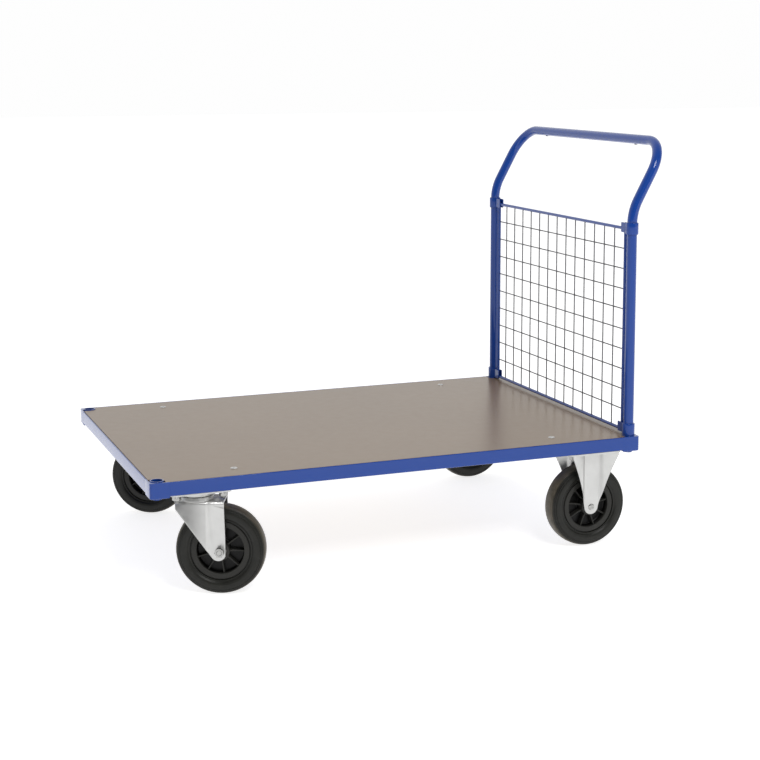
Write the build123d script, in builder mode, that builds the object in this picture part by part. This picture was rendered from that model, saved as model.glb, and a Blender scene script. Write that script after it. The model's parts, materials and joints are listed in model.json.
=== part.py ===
"""Flatbed platform truck: framed deck, push handle with mesh panel, two swivel and two fixed casters.

Millimetres, +Z up. The origin is on the floor under the centre of the deck, and +X points to the
push handle. Left and right are those of a person at the handle who faces the deck: left is -Y.
"""

from build123d import *
import os
from math import cos, radians, sin

# ---------------------------------------------------------------- driving dimensions
# Deck and frame
deck_length = 1200.0
deck_width = 800.0
board_thickness = 12.0
board_gap = 1.0
board_edge_break = 0.4
rail_height = 32.0
rail_wall = 3.0
rail_flange = 40.0
ledge_width = 15.0
hat_screw_inset = 205.0
hat_web_width = 34.0
hat_inner_flange = 22.0
hat_outer_flange = 42.0
channel_width = 38.0

# Corner sockets
corner_size = 44.0
corner_drop = 4.0
corner_radius = 6.0
corner_edge_radius = 3.0
socket_inset = 20.0
socket_clearance = 0.5
socket_wall = 3.0
socket_rim = 1.5
socket_rim_radius = 0.7
socket_stop_height = 3.0
socket_stop_width = 3.0

# Deck screws
screw_side_inset = 64.0
screw_diameter = 8.0
screw_head_diameter = 16.0
screw_head_height = 1.8
screw_length = 26.0
screw_nut_across = 13.0
screw_nut_height = 6.5
screw_clearance = 0.3

# Push handle
tube_diameter = 24.0
tube_wall = 2.0
handle_bend_rise = 543.0
handle_bar_rise = 706.0
handle_bar_reach = 89.0
handle_lean_radius = 120.0
handle_corner_radius = 80.0
plug_inset = 142.0
plug_diameter = 8.0
plug_head_height = 1.5
plug_length = 5.0

# Mesh panel and its brackets
mesh_rod = 8.0
mesh_wire = 3.0
mesh_side_gap = 30.0
mesh_bottom_rise = 9.0
mesh_height = 490.0
mesh_uprights = 13
mesh_cross_wires = 9
collar_height = 28.0
collar_wall = 3.0
collar_clearance = 0.2
clip_height = 24.0
clip_sheet = 2.0
clip_clearance = 0.1
clip_inboard = 12.0
upper_collar_drop = 11.0

# Casters
caster_end_inset = 116.0
caster_side_inset = 59.0
plate_length = 135.0
plate_width = 110.0
plate_thickness = 4.0
plate_corner = 8.0
bolt_pitch_x = 105.0
bolt_pitch_y = 75.0
bolt_diameter = 10.0
bolt_clearance = 0.5
bolt_across = 17.0
bolt_head_height = 6.4
bolt_nut_height = 8.0
bolt_washer_diameter = 20.0
bolt_washer = 2.0
bolt_tail = 3.0
wheel_diameter = 200.0
wheel_headroom = 38.0
swivel_trail = 55.0
swing_left = -23.0
swing_right = -30.0
running_gap = 0.3
hex_sides = 6

# Swivel head
race_top_radius = 50.0
race_bottom_radius = 43.5
race_skirt_wall = 5.0
race_skirt_depth = 8.5
race_edge_height = 2.8
race_groove_depth = 1.8
race_inner_radius = 28.0
ball_diameter = 7.0
ball_pitch_radius = 33.0
ball_count = 24
ball_gap = 0.05
crown_radius = 40.0
crown_thickness = 6.0
crown_lip_width = 2.5
crown_lip_height = 2.5
kingpin_diameter = 16.0
kingpin_clearance = 0.2
kingpin_collar_diameter = 22.0
kingpin_head_diameter = 30.0
kingpin_head_height = 4.0

# Forks
fork_gap = 62.0
fork_sheet = 3.5
fork_web = 4.0
fork_front = 40.0
fork_rear = 66.0
fork_shoulder = 16.0
fork_crease_x = 30.5
fork_flare = 0.1
fork_tip_radius = 17.0
fork_tip_offset = 3.0
fork_bend_radius = 3.0
bracket_plate_width = 115.0
bracket_half_width = 61.0
bracket_channel_half = 19.0
bracket_flange_flare = 23.0
bracket_tip_radius = 18.0
bracket_shoulder = 6.0

# Axles and wheels
axle_diameter = 12.0
axle_hole_clearance = 0.2
axle_hex_across = 19.0
axle_hex_height = 7.5
axle_nut_height = 9.0
axle_tail = 2.0
axle_button_diameter = 16.0
axle_button_height = 1.8
spacer_diameter = 20.0
spacer_clearance = 0.2
roller_diameter = 4.0
roller_count = 12
roller_length = 48.0
cage_width = 2.5
roller_seat_gap = 0.1
hub_length = 60.0
hub_wall = 7.0
rim_seat_diameter = 129.0
rim_barrel_inner = 105.0
rim_width = 40.0
rim_web = 5.0
rim_rib_count = 9
rim_rib_thickness = 3.0
rim_rib_width = 31.0
tyre_width = 50.0
tyre_tread_width = 30.0
tyre_bead_width = 45.0
tyre_bead_height = 5.0
tyre_flank_height = 15.0
tyre_shoulder_depth = 10.0
tyre_edge_width = 45.0
tyre_edge_depth = 5.0

# ---------------------------------------------------------------- heights and places worked out
frame_bottom = wheel_diameter + wheel_headroom
deck_height = frame_bottom + rail_height
board_bottom = deck_height - board_thickness
plate_bottom = frame_bottom - plate_thickness
wheel_radius = wheel_diameter / 2
caster_x = deck_length / 2 - caster_end_inset
caster_y = deck_width / 2 - caster_side_inset
hat_screw_x = deck_length / 2 - hat_screw_inset
screw_y = deck_width / 2 - screw_side_inset
bolt_hole = bolt_diameter + 2 * bolt_clearance
corner_bottom = frame_bottom - corner_drop
socket_bore = tube_diameter + 2 * socket_clearance
socket_outer = socket_bore + 2 * socket_wall
socket_x = deck_length / 2 - socket_inset
socket_y = deck_width / 2 - socket_inset
socket_top = deck_height + socket_rim
leg_bottom = corner_bottom + socket_stop_height
lower_collar_bottom = socket_top
collar_bore = tube_diameter + 2 * collar_clearance
handle_top_x = socket_x + handle_bar_reach
handle_bend_height = deck_height + handle_bend_rise
handle_bar_height = deck_height + handle_bar_rise
plug_y = socket_y - plug_inset

mesh_half_width = socket_y - mesh_side_gap
mesh_bottom = deck_height + mesh_bottom_rise
mesh_top = mesh_bottom + mesh_height
mesh_upright_pitch = 2 * mesh_half_width / (mesh_uprights + 1)
mesh_cross_pitch = mesh_height / (mesh_cross_wires + 1)
clip_reach = mesh_side_gap + clip_inboard
upper_collar_bottom = mesh_top - upper_collar_drop

race_top = plate_bottom
race_face = race_top - race_skirt_depth + race_groove_depth
ball_height = race_face - running_gap - ball_diameter / 2
crown_top = ball_height - ball_diameter / 2 - ball_gap
web_top = crown_top - crown_thickness
web_bottom = web_top - fork_web

roller_pitch_radius = spacer_diameter / 2 + running_gap + roller_diameter / 2
hub_bore_radius = roller_pitch_radius + roller_diameter / 2 + roller_seat_gap
hub_radius = hub_bore_radius + hub_wall
barrel_inner_radius = rim_barrel_inner / 2
seat_radius = rim_seat_diameter / 2
fork_outer = fork_gap / 2 + fork_sheet

screw_points = [(x, y) for x in (-hat_screw_x, hat_screw_x) for y in (-screw_y, screw_y)]
caster_points = [(x, y) for x in (-caster_x, caster_x) for y in (-caster_y, caster_y)]
bolt_offsets = [(sx * bolt_pitch_x / 2, sy * bolt_pitch_y / 2) for sx in (-1, 1) for sy in (-1, 1)]
bolt_points = [(cx + x, cy + y) for cx, cy in caster_points for x, y in bolt_offsets]


def save(part, name):
    """Label one finished piece and write it."""
    part.label = name
    export_step(part, f"parts/{name}.step")


def floor_plane(x, y, angle=0.0):
    """A plane on the floor at x, y whose own x axis points along angle degrees."""
    return Plane(origin=(x, y, 0), x_dir=(cos(radians(angle)), sin(radians(angle)), 0), z_dir=(0, 0, 1))


def section_plane(base):
    """The upright plane through base's origin: its x is base's x, and its y is up."""
    return Plane(origin=base.origin, x_dir=base.x_dir, z_dir=-base.y_dir)


def box_sketch(u, v, width, height):
    """One rectangle of a section, from its lower left corner."""
    with Locations((u, v)):
        Rectangle(width, height, align=(Align.MIN, Align.MIN))


# ---------------------------------------------------------------- frame
def make_rail(name, base, half_length):
    """A rolled edge rail: upright web, bottom flange for the casters and ledge for the board.

    base stands on the floor at the middle of the outer face, with its x pointing inboard.
    """
    with BuildPart() as rail:
        with BuildSketch(section_plane(base)):
            box_sketch(0, frame_bottom, rail_wall, rail_height)
            box_sketch(0, frame_bottom, rail_flange, rail_wall)
            box_sketch(0, board_bottom - rail_wall, rail_wall + ledge_width, rail_wall)
        extrude(amount=half_length, both=True)
        with BuildSketch(Plane.XY.offset(frame_bottom)):
            with Locations(*bolt_points):
                Circle(bolt_hole / 2)
        extrude(amount=rail_wall, mode=Mode.SUBTRACT)
    save(rail.part, name)


def make_corner(name, base):
    """A corner casting with an upright socket; base is at the deck's corner, x and y inboard."""
    with BuildPart() as corner:
        with BuildSketch(base.offset(corner_bottom)) as outline:
            Rectangle(corner_size, corner_size, align=(Align.MIN, Align.MIN))
            fillet(outline.vertices().sort_by_distance((0, 0, 0))[0], corner_radius)
        extrude(amount=rail_height + corner_drop)
        fillet(corner.edges().group_by(Axis.Z)[0], corner_edge_radius)
        with BuildSketch(base.offset(frame_bottom)):
            box_sketch(rail_wall, rail_wall, corner_size, corner_size)
        extrude(amount=rail_height, mode=Mode.SUBTRACT)
        with BuildSketch(base.offset(frame_bottom)):
            box_sketch(rail_wall, rail_wall, socket_inset - rail_wall, socket_inset - rail_wall)
        extrude(amount=rail_height)
        with BuildSketch(base.offset(frame_bottom)):
            with Locations((socket_inset, socket_inset)):
                Circle(socket_outer / 2)
        extrude(amount=rail_height + socket_rim)
        fillet(corner.edges().group_by(Axis.Z)[-1], socket_rim_radius)
        with BuildSketch(base.offset(corner_bottom)):
            with Locations((socket_inset, socket_inset)):
                Circle(socket_bore / 2 - socket_stop_width)
        extrude(amount=rail_height + corner_drop + socket_rim, mode=Mode.SUBTRACT)
        with BuildSketch(base.offset(leg_bottom)):
            with Locations((socket_inset, socket_inset)):
                Circle(socket_bore / 2)
        extrude(amount=socket_top - leg_bottom, mode=Mode.SUBTRACT)
    save(corner.part, name)


def make_hat(name, base):
    """The inner cross member, a hat section; base is on the floor at the screw line, x outboard."""
    wall_height = board_bottom - frame_bottom
    with BuildPart() as hat:
        with BuildSketch(section_plane(base)):
            box_sketch(-hat_web_width / 2, board_bottom - rail_wall, hat_web_width, rail_wall)
            box_sketch(-hat_web_width / 2, frame_bottom, rail_wall, wall_height)
            box_sketch(hat_web_width / 2 - rail_wall, frame_bottom, rail_wall, wall_height)
            inner_edge = -hat_web_width / 2 - hat_inner_flange
            box_sketch(inner_edge, frame_bottom, hat_inner_flange + rail_wall, rail_wall)
            box_sketch(hat_web_width / 2 - rail_wall, frame_bottom, hat_outer_flange, rail_wall)
        extrude(amount=deck_width / 2 - rail_flange, both=True)
        with BuildSketch(Plane.XY.offset(frame_bottom)):
            with Locations(*bolt_points):
                Circle(bolt_hole / 2)
        extrude(amount=rail_wall, mode=Mode.SUBTRACT)
        with BuildSketch(Plane.XY.offset(board_bottom - rail_wall)):
            with Locations(*screw_points):
                Circle(screw_diameter / 2 + screw_clearance)
        extrude(amount=rail_wall, mode=Mode.SUBTRACT)
    save(hat.part, name)


def make_channel(name, base):
    """The outer cross member, an upward channel; base is on the floor at the bolt line, x outboard."""
    wall_height = board_bottom - frame_bottom
    with BuildPart() as channel:
        with BuildSketch(section_plane(base)):
            box_sketch(-channel_width / 2, frame_bottom, channel_width, rail_wall)
            box_sketch(-channel_width / 2, frame_bottom, rail_wall, wall_height)
            box_sketch(channel_width / 2 - rail_wall, frame_bottom, rail_wall, wall_height)
        extrude(amount=deck_width / 2 - rail_flange, both=True)
        with BuildSketch(Plane.XY.offset(frame_bottom)):
            with Locations(*bolt_points):
                Circle(bolt_hole / 2)
        extrude(amount=rail_wall, mode=Mode.SUBTRACT)
    save(channel.part, name)


def make_frame():
    """Rails, corner sockets and cross members."""
    side_half = deck_length / 2 - corner_size
    end_half = deck_width / 2 - corner_size
    make_rail("side_rail_left", floor_plane(0, -deck_width / 2, 90), side_half)
    make_rail("side_rail_right", floor_plane(0, deck_width / 2, -90), side_half)
    make_rail("end_rail_front", floor_plane(-deck_length / 2, 0, 0), end_half)
    make_rail("end_rail_rear", floor_plane(deck_length / 2, 0, 180), end_half)
    make_corner("corner_socket_front_left", floor_plane(-deck_length / 2, -deck_width / 2, 0))
    make_corner("corner_socket_rear_left", floor_plane(deck_length / 2, -deck_width / 2, 90))
    make_corner("corner_socket_rear_right", floor_plane(deck_length / 2, deck_width / 2, 180))
    make_corner("corner_socket_front_right", floor_plane(-deck_length / 2, deck_width / 2, -90))
    outer_bolt_x = caster_x + bolt_pitch_x / 2
    for end, angle, side in (("front", 180, -1), ("rear", 0, 1)):
        make_hat(f"inner_cross_member_{end}", floor_plane(side * hat_screw_x, 0, angle))
        make_channel(f"outer_cross_member_{end}", floor_plane(side * outer_bolt_x, 0, angle))


# ---------------------------------------------------------------- deck
def make_deck():
    """The laminated board, notched round the corner sockets, and its four screws with nuts."""
    notch = socket_inset + socket_outer / 2 + board_gap
    inset = rail_wall + board_gap
    with BuildPart() as board:
        with BuildSketch(Plane.XY.offset(board_bottom)):
            Rectangle(deck_length - 2 * inset, deck_width - 2 * inset)
            with GridLocations(deck_length, deck_width, 2, 2):
                RectangleRounded(2 * notch, 2 * notch, socket_outer / 2 + board_gap, mode=Mode.SUBTRACT)
            with Locations(*screw_points):
                Circle(screw_diameter / 2 + screw_clearance, mode=Mode.SUBTRACT)
        extrude(amount=board_thickness)
        outer_edges = board.faces().sort_by(Axis.Z)[-1].outer_wire().edges()
        chamfer(outer_edges, board_edge_break)
    save(board.part, "deck_board")

    with BuildPart() as screws:
        with BuildSketch(Plane.XY.offset(deck_height)):
            with Locations(*screw_points):
                Circle(screw_head_diameter / 2)
        extrude(amount=screw_head_height)
        chamfer(screws.edges().group_by(Axis.Z)[-1], screw_head_height / 2)
        with BuildSketch(Plane.XY.offset(deck_height)):
            with Locations(*screw_points):
                Circle(screw_diameter / 2)
        extrude(amount=-screw_length)
    with BuildPart() as nuts:
        with BuildSketch(Plane.XY.offset(board_bottom - rail_wall)):
            with Locations(*screw_points):
                RegularPolygon(screw_nut_across / 2, hex_sides, major_radius=False)
            with Locations(*screw_points):
                Circle(screw_diameter / 2, mode=Mode.SUBTRACT)
        extrude(amount=-screw_nut_height)
    save(Compound(children=[*screws.part.solids(), *nuts.part.solids()]), "deck_screws")


# ---------------------------------------------------------------- push handle
def handle_path():
    """The centre line: up one leg, a lean away from the deck, across the bar and down again."""
    return FilletPolyline(
        (socket_x, -socket_y, leg_bottom),
        (socket_x, -socket_y, handle_bend_height),
        (handle_top_x, -socket_y, handle_bar_height),
        (handle_top_x, socket_y, handle_bar_height),
        (socket_x, socket_y, handle_bend_height),
        (socket_x, socket_y, leg_bottom),
        radius=[handle_lean_radius, handle_corner_radius, handle_corner_radius, handle_lean_radius],
    )


def make_handle():
    """The bent tube and the two plugs in the underside of its bar."""
    foot = Plane.XY.offset(leg_bottom)
    with BuildPart() as handle:
        with BuildLine():
            handle_path()
        with BuildSketch(foot):
            with Locations((socket_x, -socket_y)):
                Circle(tube_diameter / 2)
                Circle(tube_diameter / 2 - tube_wall, mode=Mode.SUBTRACT)
        sweep()
        bar_underside = handle_bar_height - tube_diameter / 2
        with BuildSketch(Plane.XY.offset(bar_underside - plug_head_height)):
            with Locations((handle_top_x, -plug_y), (handle_top_x, plug_y)):
                Circle(plug_diameter / 2)
        extrude(amount=plug_length, mode=Mode.SUBTRACT)
    save(handle.part, "push_handle")

    with BuildPart() as plugs:
        with BuildSketch(Plane.XY.offset(bar_underside - plug_head_height)):
            with Locations((handle_top_x, -plug_y), (handle_top_x, plug_y)):
                Circle(plug_diameter / 2)
        extrude(amount=plug_length)
    save(plugs.part, "handle_plugs")


# ---------------------------------------------------------------- mesh panel
def rod(start, end, diameter):
    """One straight round rod as a loose object."""
    direction = Vector(*end) - Vector(*start)
    plane = Plane(origin=start, z_dir=direction)
    upright = (Align.CENTER, Align.CENTER, Align.MIN)
    return plane * Cylinder(diameter / 2, direction.length, align=upright, mode=Mode.PRIVATE)


def make_mesh():
    """Frame rods, and the wires that butt into them; each crossing wire lies on its neighbour."""
    x = socket_x
    rod_ends = (mesh_bottom - mesh_rod / 2, mesh_top + mesh_rod / 2)
    side_rods = []
    for y in (-mesh_half_width, mesh_half_width):
        side_rods.append(rod((x, y, rod_ends[0]), (x, y, rod_ends[1]), mesh_rod))
    save(Compound(children=side_rods), "mesh_side_rods")

    for name, z in (("mesh_bottom_rail", mesh_bottom), ("mesh_top_rail", mesh_top)):
        with BuildPart() as rail:
            add(rod((x, -mesh_half_width, z), (x, mesh_half_width, z), mesh_rod))
            for side_rod in side_rods:
                add(side_rod, mode=Mode.SUBTRACT)
        save(rail.part, name)

    with BuildPart() as uprights:
        for index in range(mesh_uprights):
            y = (index - (mesh_uprights - 1) / 2) * mesh_upright_pitch
            start = (x - mesh_wire / 2, y, mesh_bottom)
            end = (x - mesh_wire / 2, y, mesh_top)
            add(rod(start, end, mesh_wire))
        for z in (mesh_bottom, mesh_top):
            add(rod((x, -mesh_half_width, z), (x, mesh_half_width, z), mesh_rod), mode=Mode.SUBTRACT)
    save(uprights.part, "mesh_upright_wires")

    with BuildPart() as crossings:
        for index in range(mesh_cross_wires):
            z = mesh_bottom + (index + 1) * mesh_cross_pitch
            start = (x + mesh_wire / 2, -mesh_half_width, z)
            end = (x + mesh_wire / 2, mesh_half_width, z)
            add(rod(start, end, mesh_wire))
        for side_rod in side_rods:
            add(side_rod, mode=Mode.SUBTRACT)
    save(crossings.part, "mesh_cross_wires")


def make_brackets():
    """Collars round the legs, each with two sheets that grip the panel's corner."""
    sheet_offset = mesh_rod / 2 + clip_clearance + clip_sheet / 2
    leg_points = [(socket_x, -socket_y), (socket_x, socket_y)]
    sheet_points = []
    for side in (-1, 1):
        for face in (-1, 1):
            sheet_points.append((socket_x + face * sheet_offset, side * (socket_y - clip_reach / 2)))
    levels = (("lower_mesh_brackets", lower_collar_bottom), ("upper_mesh_brackets", upper_collar_bottom))
    for name, bottom in levels:
        with BuildPart() as brackets:
            with BuildSketch(Plane.XY.offset(bottom)):
                with Locations(*leg_points):
                    Circle(collar_bore / 2 + collar_wall)
            extrude(amount=collar_height)
            with BuildSketch(Plane.XY.offset(bottom + (collar_height - clip_height) / 2)):
                with Locations(*sheet_points):
                    Rectangle(clip_sheet, clip_reach)
            extrude(amount=clip_height)
            with BuildSketch(Plane.XY.offset(bottom)):
                with Locations(*leg_points):
                    Circle(collar_bore / 2)
            extrude(amount=collar_height, mode=Mode.SUBTRACT)
        save(brackets.part, name)


# ---------------------------------------------------------------- casters
def make_caster_bolts(name, base):
    """Four hex bolts through the frame and the caster's plate, with washers and nuts below."""
    washer_bottom = plate_bottom - bolt_washer
    nut_bottom = washer_bottom - bolt_nut_height
    with BuildPart() as bolts:
        with BuildSketch(base.offset(frame_bottom + rail_wall)):
            with Locations(*bolt_offsets):
                RegularPolygon(bolt_across / 2, hex_sides, major_radius=False)
        extrude(amount=bolt_head_height)
        with BuildSketch(base.offset(nut_bottom - bolt_tail)):
            with Locations(*bolt_offsets):
                Circle(bolt_diameter / 2)
        extrude(amount=frame_bottom + rail_wall - nut_bottom + bolt_tail)
    with BuildPart() as washers:
        with BuildSketch(base.offset(washer_bottom)):
            with Locations(*bolt_offsets):
                Circle(bolt_washer_diameter / 2)
                Circle(bolt_diameter / 2, mode=Mode.SUBTRACT)
        extrude(amount=bolt_washer)
    with BuildPart() as nuts:
        with BuildSketch(base.offset(nut_bottom)):
            with Locations(*bolt_offsets):
                RegularPolygon(bolt_across / 2, hex_sides, major_radius=False)
            with Locations(*bolt_offsets):
                Circle(bolt_diameter / 2, mode=Mode.SUBTRACT)
        extrude(amount=bolt_nut_height)
    solids = [*bolts.part.solids(), *washers.part.solids(), *nuts.part.solids()]
    save(Compound(children=solids), name)


def plate_sketch(width):
    """A caster plate's outline with its bolt holes."""
    RectangleRounded(plate_length, width, plate_corner)
    with Locations(*bolt_offsets):
        Circle(bolt_hole / 2, mode=Mode.SUBTRACT)


def make_swivel_head(side, base):
    """The top plate with its ball race, the balls and the kingpin."""
    with BuildPart() as plate:
        with BuildSketch(base.offset(plate_bottom)):
            plate_sketch(plate_width)
        extrude(amount=plate_thickness)
        with BuildSketch(section_plane(base)):
            with BuildLine():
                Polyline(
                    (race_inner_radius, race_top),
                    (race_top_radius, race_top),
                    (race_top_radius, race_top - race_edge_height),
                    (race_bottom_radius, race_top - race_skirt_depth),
                    (race_bottom_radius - race_skirt_wall, race_top - race_skirt_depth),
                    (race_bottom_radius - race_skirt_wall, race_face),
                    (race_inner_radius, race_face),
                    close=True,
                )
            make_face()
        revolve(axis=Axis(base.origin, base.z_dir))
        with BuildSketch(base.offset(plate_bottom)):
            Circle(kingpin_diameter / 2 + kingpin_clearance)
        extrude(amount=plate_thickness, mode=Mode.SUBTRACT)
    save(plate.part, f"swivel_plate_{side}")

    with BuildPart() as balls:
        with Locations(base.offset(ball_height)):
            with PolarLocations(ball_pitch_radius, ball_count):
                Sphere(ball_diameter / 2)
    save(balls.part, f"swivel_balls_{side}")

    head_top = web_bottom - running_gap
    with BuildPart() as kingpin:
        with BuildSketch(base.offset(head_top - kingpin_head_height)):
            Circle(kingpin_head_diameter / 2)
        extrude(amount=kingpin_head_height)
        with BuildSketch(base.offset(head_top)):
            Circle(kingpin_diameter / 2)
        extrude(amount=frame_bottom - head_top)
        with BuildSketch(base.offset(crown_top + running_gap)):
            Circle(kingpin_collar_diameter / 2)
        extrude(amount=plate_bottom - crown_top - running_gap)
    save(kingpin.part, f"kingpin_{side}")


def make_fork(side, seat):
    """The swivel fork: two creased tapering legs, a web between them and the crown on top."""
    half_gap = fork_gap / 2
    flare = fork_flare * (fork_front + fork_crease_x)
    profile = section_plane(seat)
    tip_bottom = wheel_radius - fork_tip_offset - fork_tip_radius
    with BuildPart() as fork:
        with BuildSketch(seat.offset(tip_bottom)):
            for face in (-1, 1):
                with BuildLine():
                    Polyline(
                        (-fork_front, face * (half_gap + flare)),
                        (fork_crease_x, face * half_gap),
                        (fork_rear, face * half_gap),
                        (fork_rear, face * fork_outer),
                        (fork_crease_x, face * fork_outer),
                        (-fork_front, face * (fork_outer + flare)),
                        close=True,
                    )
                make_face()
        extrude(amount=web_top - tip_bottom)
        with BuildSketch(profile):
            with Locations((swivel_trail - fork_tip_offset, wheel_radius - fork_tip_offset)):
                Circle(fork_tip_radius)
            box_sketch(-fork_front, web_top - fork_shoulder, fork_front + fork_rear, fork_shoulder)
            make_hull()
        extrude(amount=fork_outer + flare, both=True, mode=Mode.INTERSECT)
        with BuildSketch(seat.offset(web_bottom)):
            with BuildLine():
                Polyline(
                    (-fork_front, -fork_outer - flare),
                    (fork_crease_x, -fork_outer),
                    (fork_rear, -fork_outer),
                    (fork_rear, fork_outer),
                    (fork_crease_x, fork_outer),
                    (-fork_front, fork_outer + flare),
                    close=True,
                )
            make_face()
        extrude(amount=fork_web)
        top_edges = fork.faces().sort_by(Axis.Z)[-1].edges()
        along = Vector(seat.x_dir)
        bends = [edge for edge in top_edges if abs((edge @ 1 - edge @ 0).dot(along)) > edge.length / 2]
        fillet(bends, fork_bend_radius)
        with BuildSketch(seat.offset(web_top)):
            Circle(crown_radius)
        extrude(amount=crown_thickness)
        with BuildSketch(seat.offset(crown_top)):
            Circle(crown_radius)
            Circle(crown_radius - crown_lip_width, mode=Mode.SUBTRACT)
        extrude(amount=crown_lip_height)
        with BuildSketch(seat.offset(web_bottom)):
            Circle(kingpin_diameter / 2 + running_gap)
        extrude(amount=crown_top - web_bottom, mode=Mode.SUBTRACT)
        with BuildSketch(profile):
            with Locations((swivel_trail, wheel_radius)):
                Circle(axle_diameter / 2 + axle_hole_clearance)
        extrude(amount=fork_outer + flare, both=True, mode=Mode.SUBTRACT)
    save(fork.part, f"swivel_fork_{side}")


def make_fixed_bracket(side, base):
    """The fixed caster's bracket: a plate and two V-shaped legs whose flanges flare outwards."""
    half_gap = fork_gap / 2
    flange_gap = half_gap + bracket_flange_flare
    profile = section_plane(base)
    tip_bottom = wheel_radius - bracket_tip_radius
    with BuildPart() as bracket:
        with BuildSketch(base.offset(tip_bottom)):
            for face in (-1, 1):
                inner = [
                    (-bracket_half_width, flange_gap),
                    (-bracket_channel_half, half_gap),
                    (bracket_channel_half, half_gap),
                    (bracket_half_width, flange_gap),
                ]
                outer = [(x, y + fork_sheet) for x, y in reversed(inner)]
                with BuildLine():
                    Polyline(*[(x, face * y) for x, y in inner + outer], close=True)
                make_face()
        extrude(amount=plate_bottom - tip_bottom)
        with BuildSketch(profile):
            with Locations((0, wheel_radius)):
                Circle(bracket_tip_radius)
            with Locations((0, plate_bottom - bracket_shoulder / 2)):
                Rectangle(2 * bracket_half_width, bracket_shoulder)
            make_hull()
        extrude(amount=fork_outer + bracket_flange_flare, both=True, mode=Mode.INTERSECT)
        with BuildSketch(base.offset(plate_bottom)):
            plate_sketch(bracket_plate_width)
        extrude(amount=plate_thickness)
        with BuildSketch(profile):
            with Locations((0, wheel_radius)):
                Circle(axle_diameter / 2 + axle_hole_clearance)
        extrude(amount=fork_outer, both=True, mode=Mode.SUBTRACT)
    save(bracket.part, f"fixed_bracket_{side}")


def make_swivel_axle(side, hub):
    """A hex bolt across the fork with its nut; hub's z axis is the axle."""
    with BuildPart() as bolt:
        with BuildSketch(hub.offset(-fork_outer - axle_hex_height)):
            RegularPolygon(axle_hex_across / 2, hex_sides, major_radius=False)
        extrude(amount=axle_hex_height)
        with BuildSketch(hub.offset(-fork_outer)):
            Circle(axle_diameter / 2)
        extrude(amount=2 * fork_outer + axle_nut_height + axle_tail)
    with BuildPart() as nut:
        with BuildSketch(hub.offset(fork_outer)):
            RegularPolygon(axle_hex_across / 2, hex_sides, major_radius=False)
            Circle(axle_diameter / 2, mode=Mode.SUBTRACT)
        extrude(amount=axle_nut_height)
    save(Compound(children=[*bolt.part.solids(), *nut.part.solids()]), f"swivel_axle_{side}")


def make_fixed_axle(side, hub):
    """A riveted axle with a low button on each leg of the bracket."""
    with BuildPart() as axle:
        for face in (-1, 1):
            with BuildSketch(hub.offset(face * fork_outer)):
                Circle(axle_button_diameter / 2)
            extrude(amount=face * axle_button_height)
        with BuildSketch(hub.offset(-fork_outer)):
            Circle(axle_diameter / 2)
        extrude(amount=2 * fork_outer)
    save(axle.part, f"fixed_axle_{side}")


def make_wheel(kind, side, hub):
    """Spacer, rollers with their cage rings, rim and tyre; hub's z axis is the axle."""
    axis = Axis(hub.origin, hub.z_dir)
    section = Plane(origin=hub.origin, x_dir=hub.x_dir, z_dir=-hub.y_dir)
    with BuildPart() as spacer:
        with BuildSketch(hub.offset(-fork_gap / 2)):
            Circle(spacer_diameter / 2)
            Circle(axle_diameter / 2 + spacer_clearance, mode=Mode.SUBTRACT)
        extrude(amount=fork_gap)
    save(spacer.part, f"{kind}_axle_spacer_{side}")

    with BuildPart() as rollers:
        with BuildSketch(hub.offset(-roller_length / 2)):
            with PolarLocations(roller_pitch_radius, roller_count):
                Circle(roller_diameter / 2)
        extrude(amount=roller_length)
    with BuildPart() as cages:
        for start, amount in ((roller_length / 2, cage_width), (-roller_length / 2, -cage_width)):
            with BuildSketch(hub.offset(start)):
                Circle(hub_bore_radius - roller_seat_gap)
                Circle(spacer_diameter / 2 + running_gap, mode=Mode.SUBTRACT)
            extrude(amount=amount)
    bearing = Compound(children=[*rollers.part.solids(), *cages.part.solids()])
    save(bearing, f"{kind}_wheel_bearing_{side}")

    with BuildPart() as rim:
        with BuildSketch(section):
            box_sketch(hub_bore_radius, -hub_length / 2, hub_wall, hub_length)
            box_sketch(hub_radius, -rim_web / 2, barrel_inner_radius - hub_radius, rim_web)
            box_sketch(barrel_inner_radius, -rim_width / 2, seat_radius - barrel_inner_radius, rim_width)
        revolve(axis=axis)
        rib_start = hub_radius - hub_wall / 2
        rib_length = (barrel_inner_radius + seat_radius) / 2 - rib_start
        with BuildSketch(hub.offset(-rim_rib_width / 2)):
            with PolarLocations(rib_start + rib_length / 2, rim_rib_count):
                Rectangle(rib_length, rim_rib_thickness)
        extrude(amount=rim_rib_width)
    save(rim.part, f"{kind}_rim_{side}")

    with BuildPart() as tyre:
        with BuildSketch(section):
            with BuildLine():
                right = [
                    (seat_radius, rim_width / 2),
                    (seat_radius + tyre_bead_height, tyre_bead_width / 2),
                    (seat_radius + tyre_flank_height, tyre_width / 2),
                    (wheel_radius - tyre_shoulder_depth, tyre_width / 2),
                    (wheel_radius - tyre_edge_depth, tyre_edge_width / 2),
                    (wheel_radius, tyre_tread_width / 2),
                ]
                left = [(r, -w) for r, w in reversed(right)]
                Polyline(*right, *left, close=True)
            make_face()
        revolve(axis=axis)
    save(tyre.part, f"{kind}_tyre_{side}")


def hub_plane(seat, trail):
    """The plane at the wheel's centre whose z axis is the axle, pointing to seat's +y side."""
    centre = seat.from_local_coords(Vector(trail, 0, wheel_radius))
    return Plane(origin=centre, x_dir=seat.x_dir, z_dir=seat.y_dir)


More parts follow.
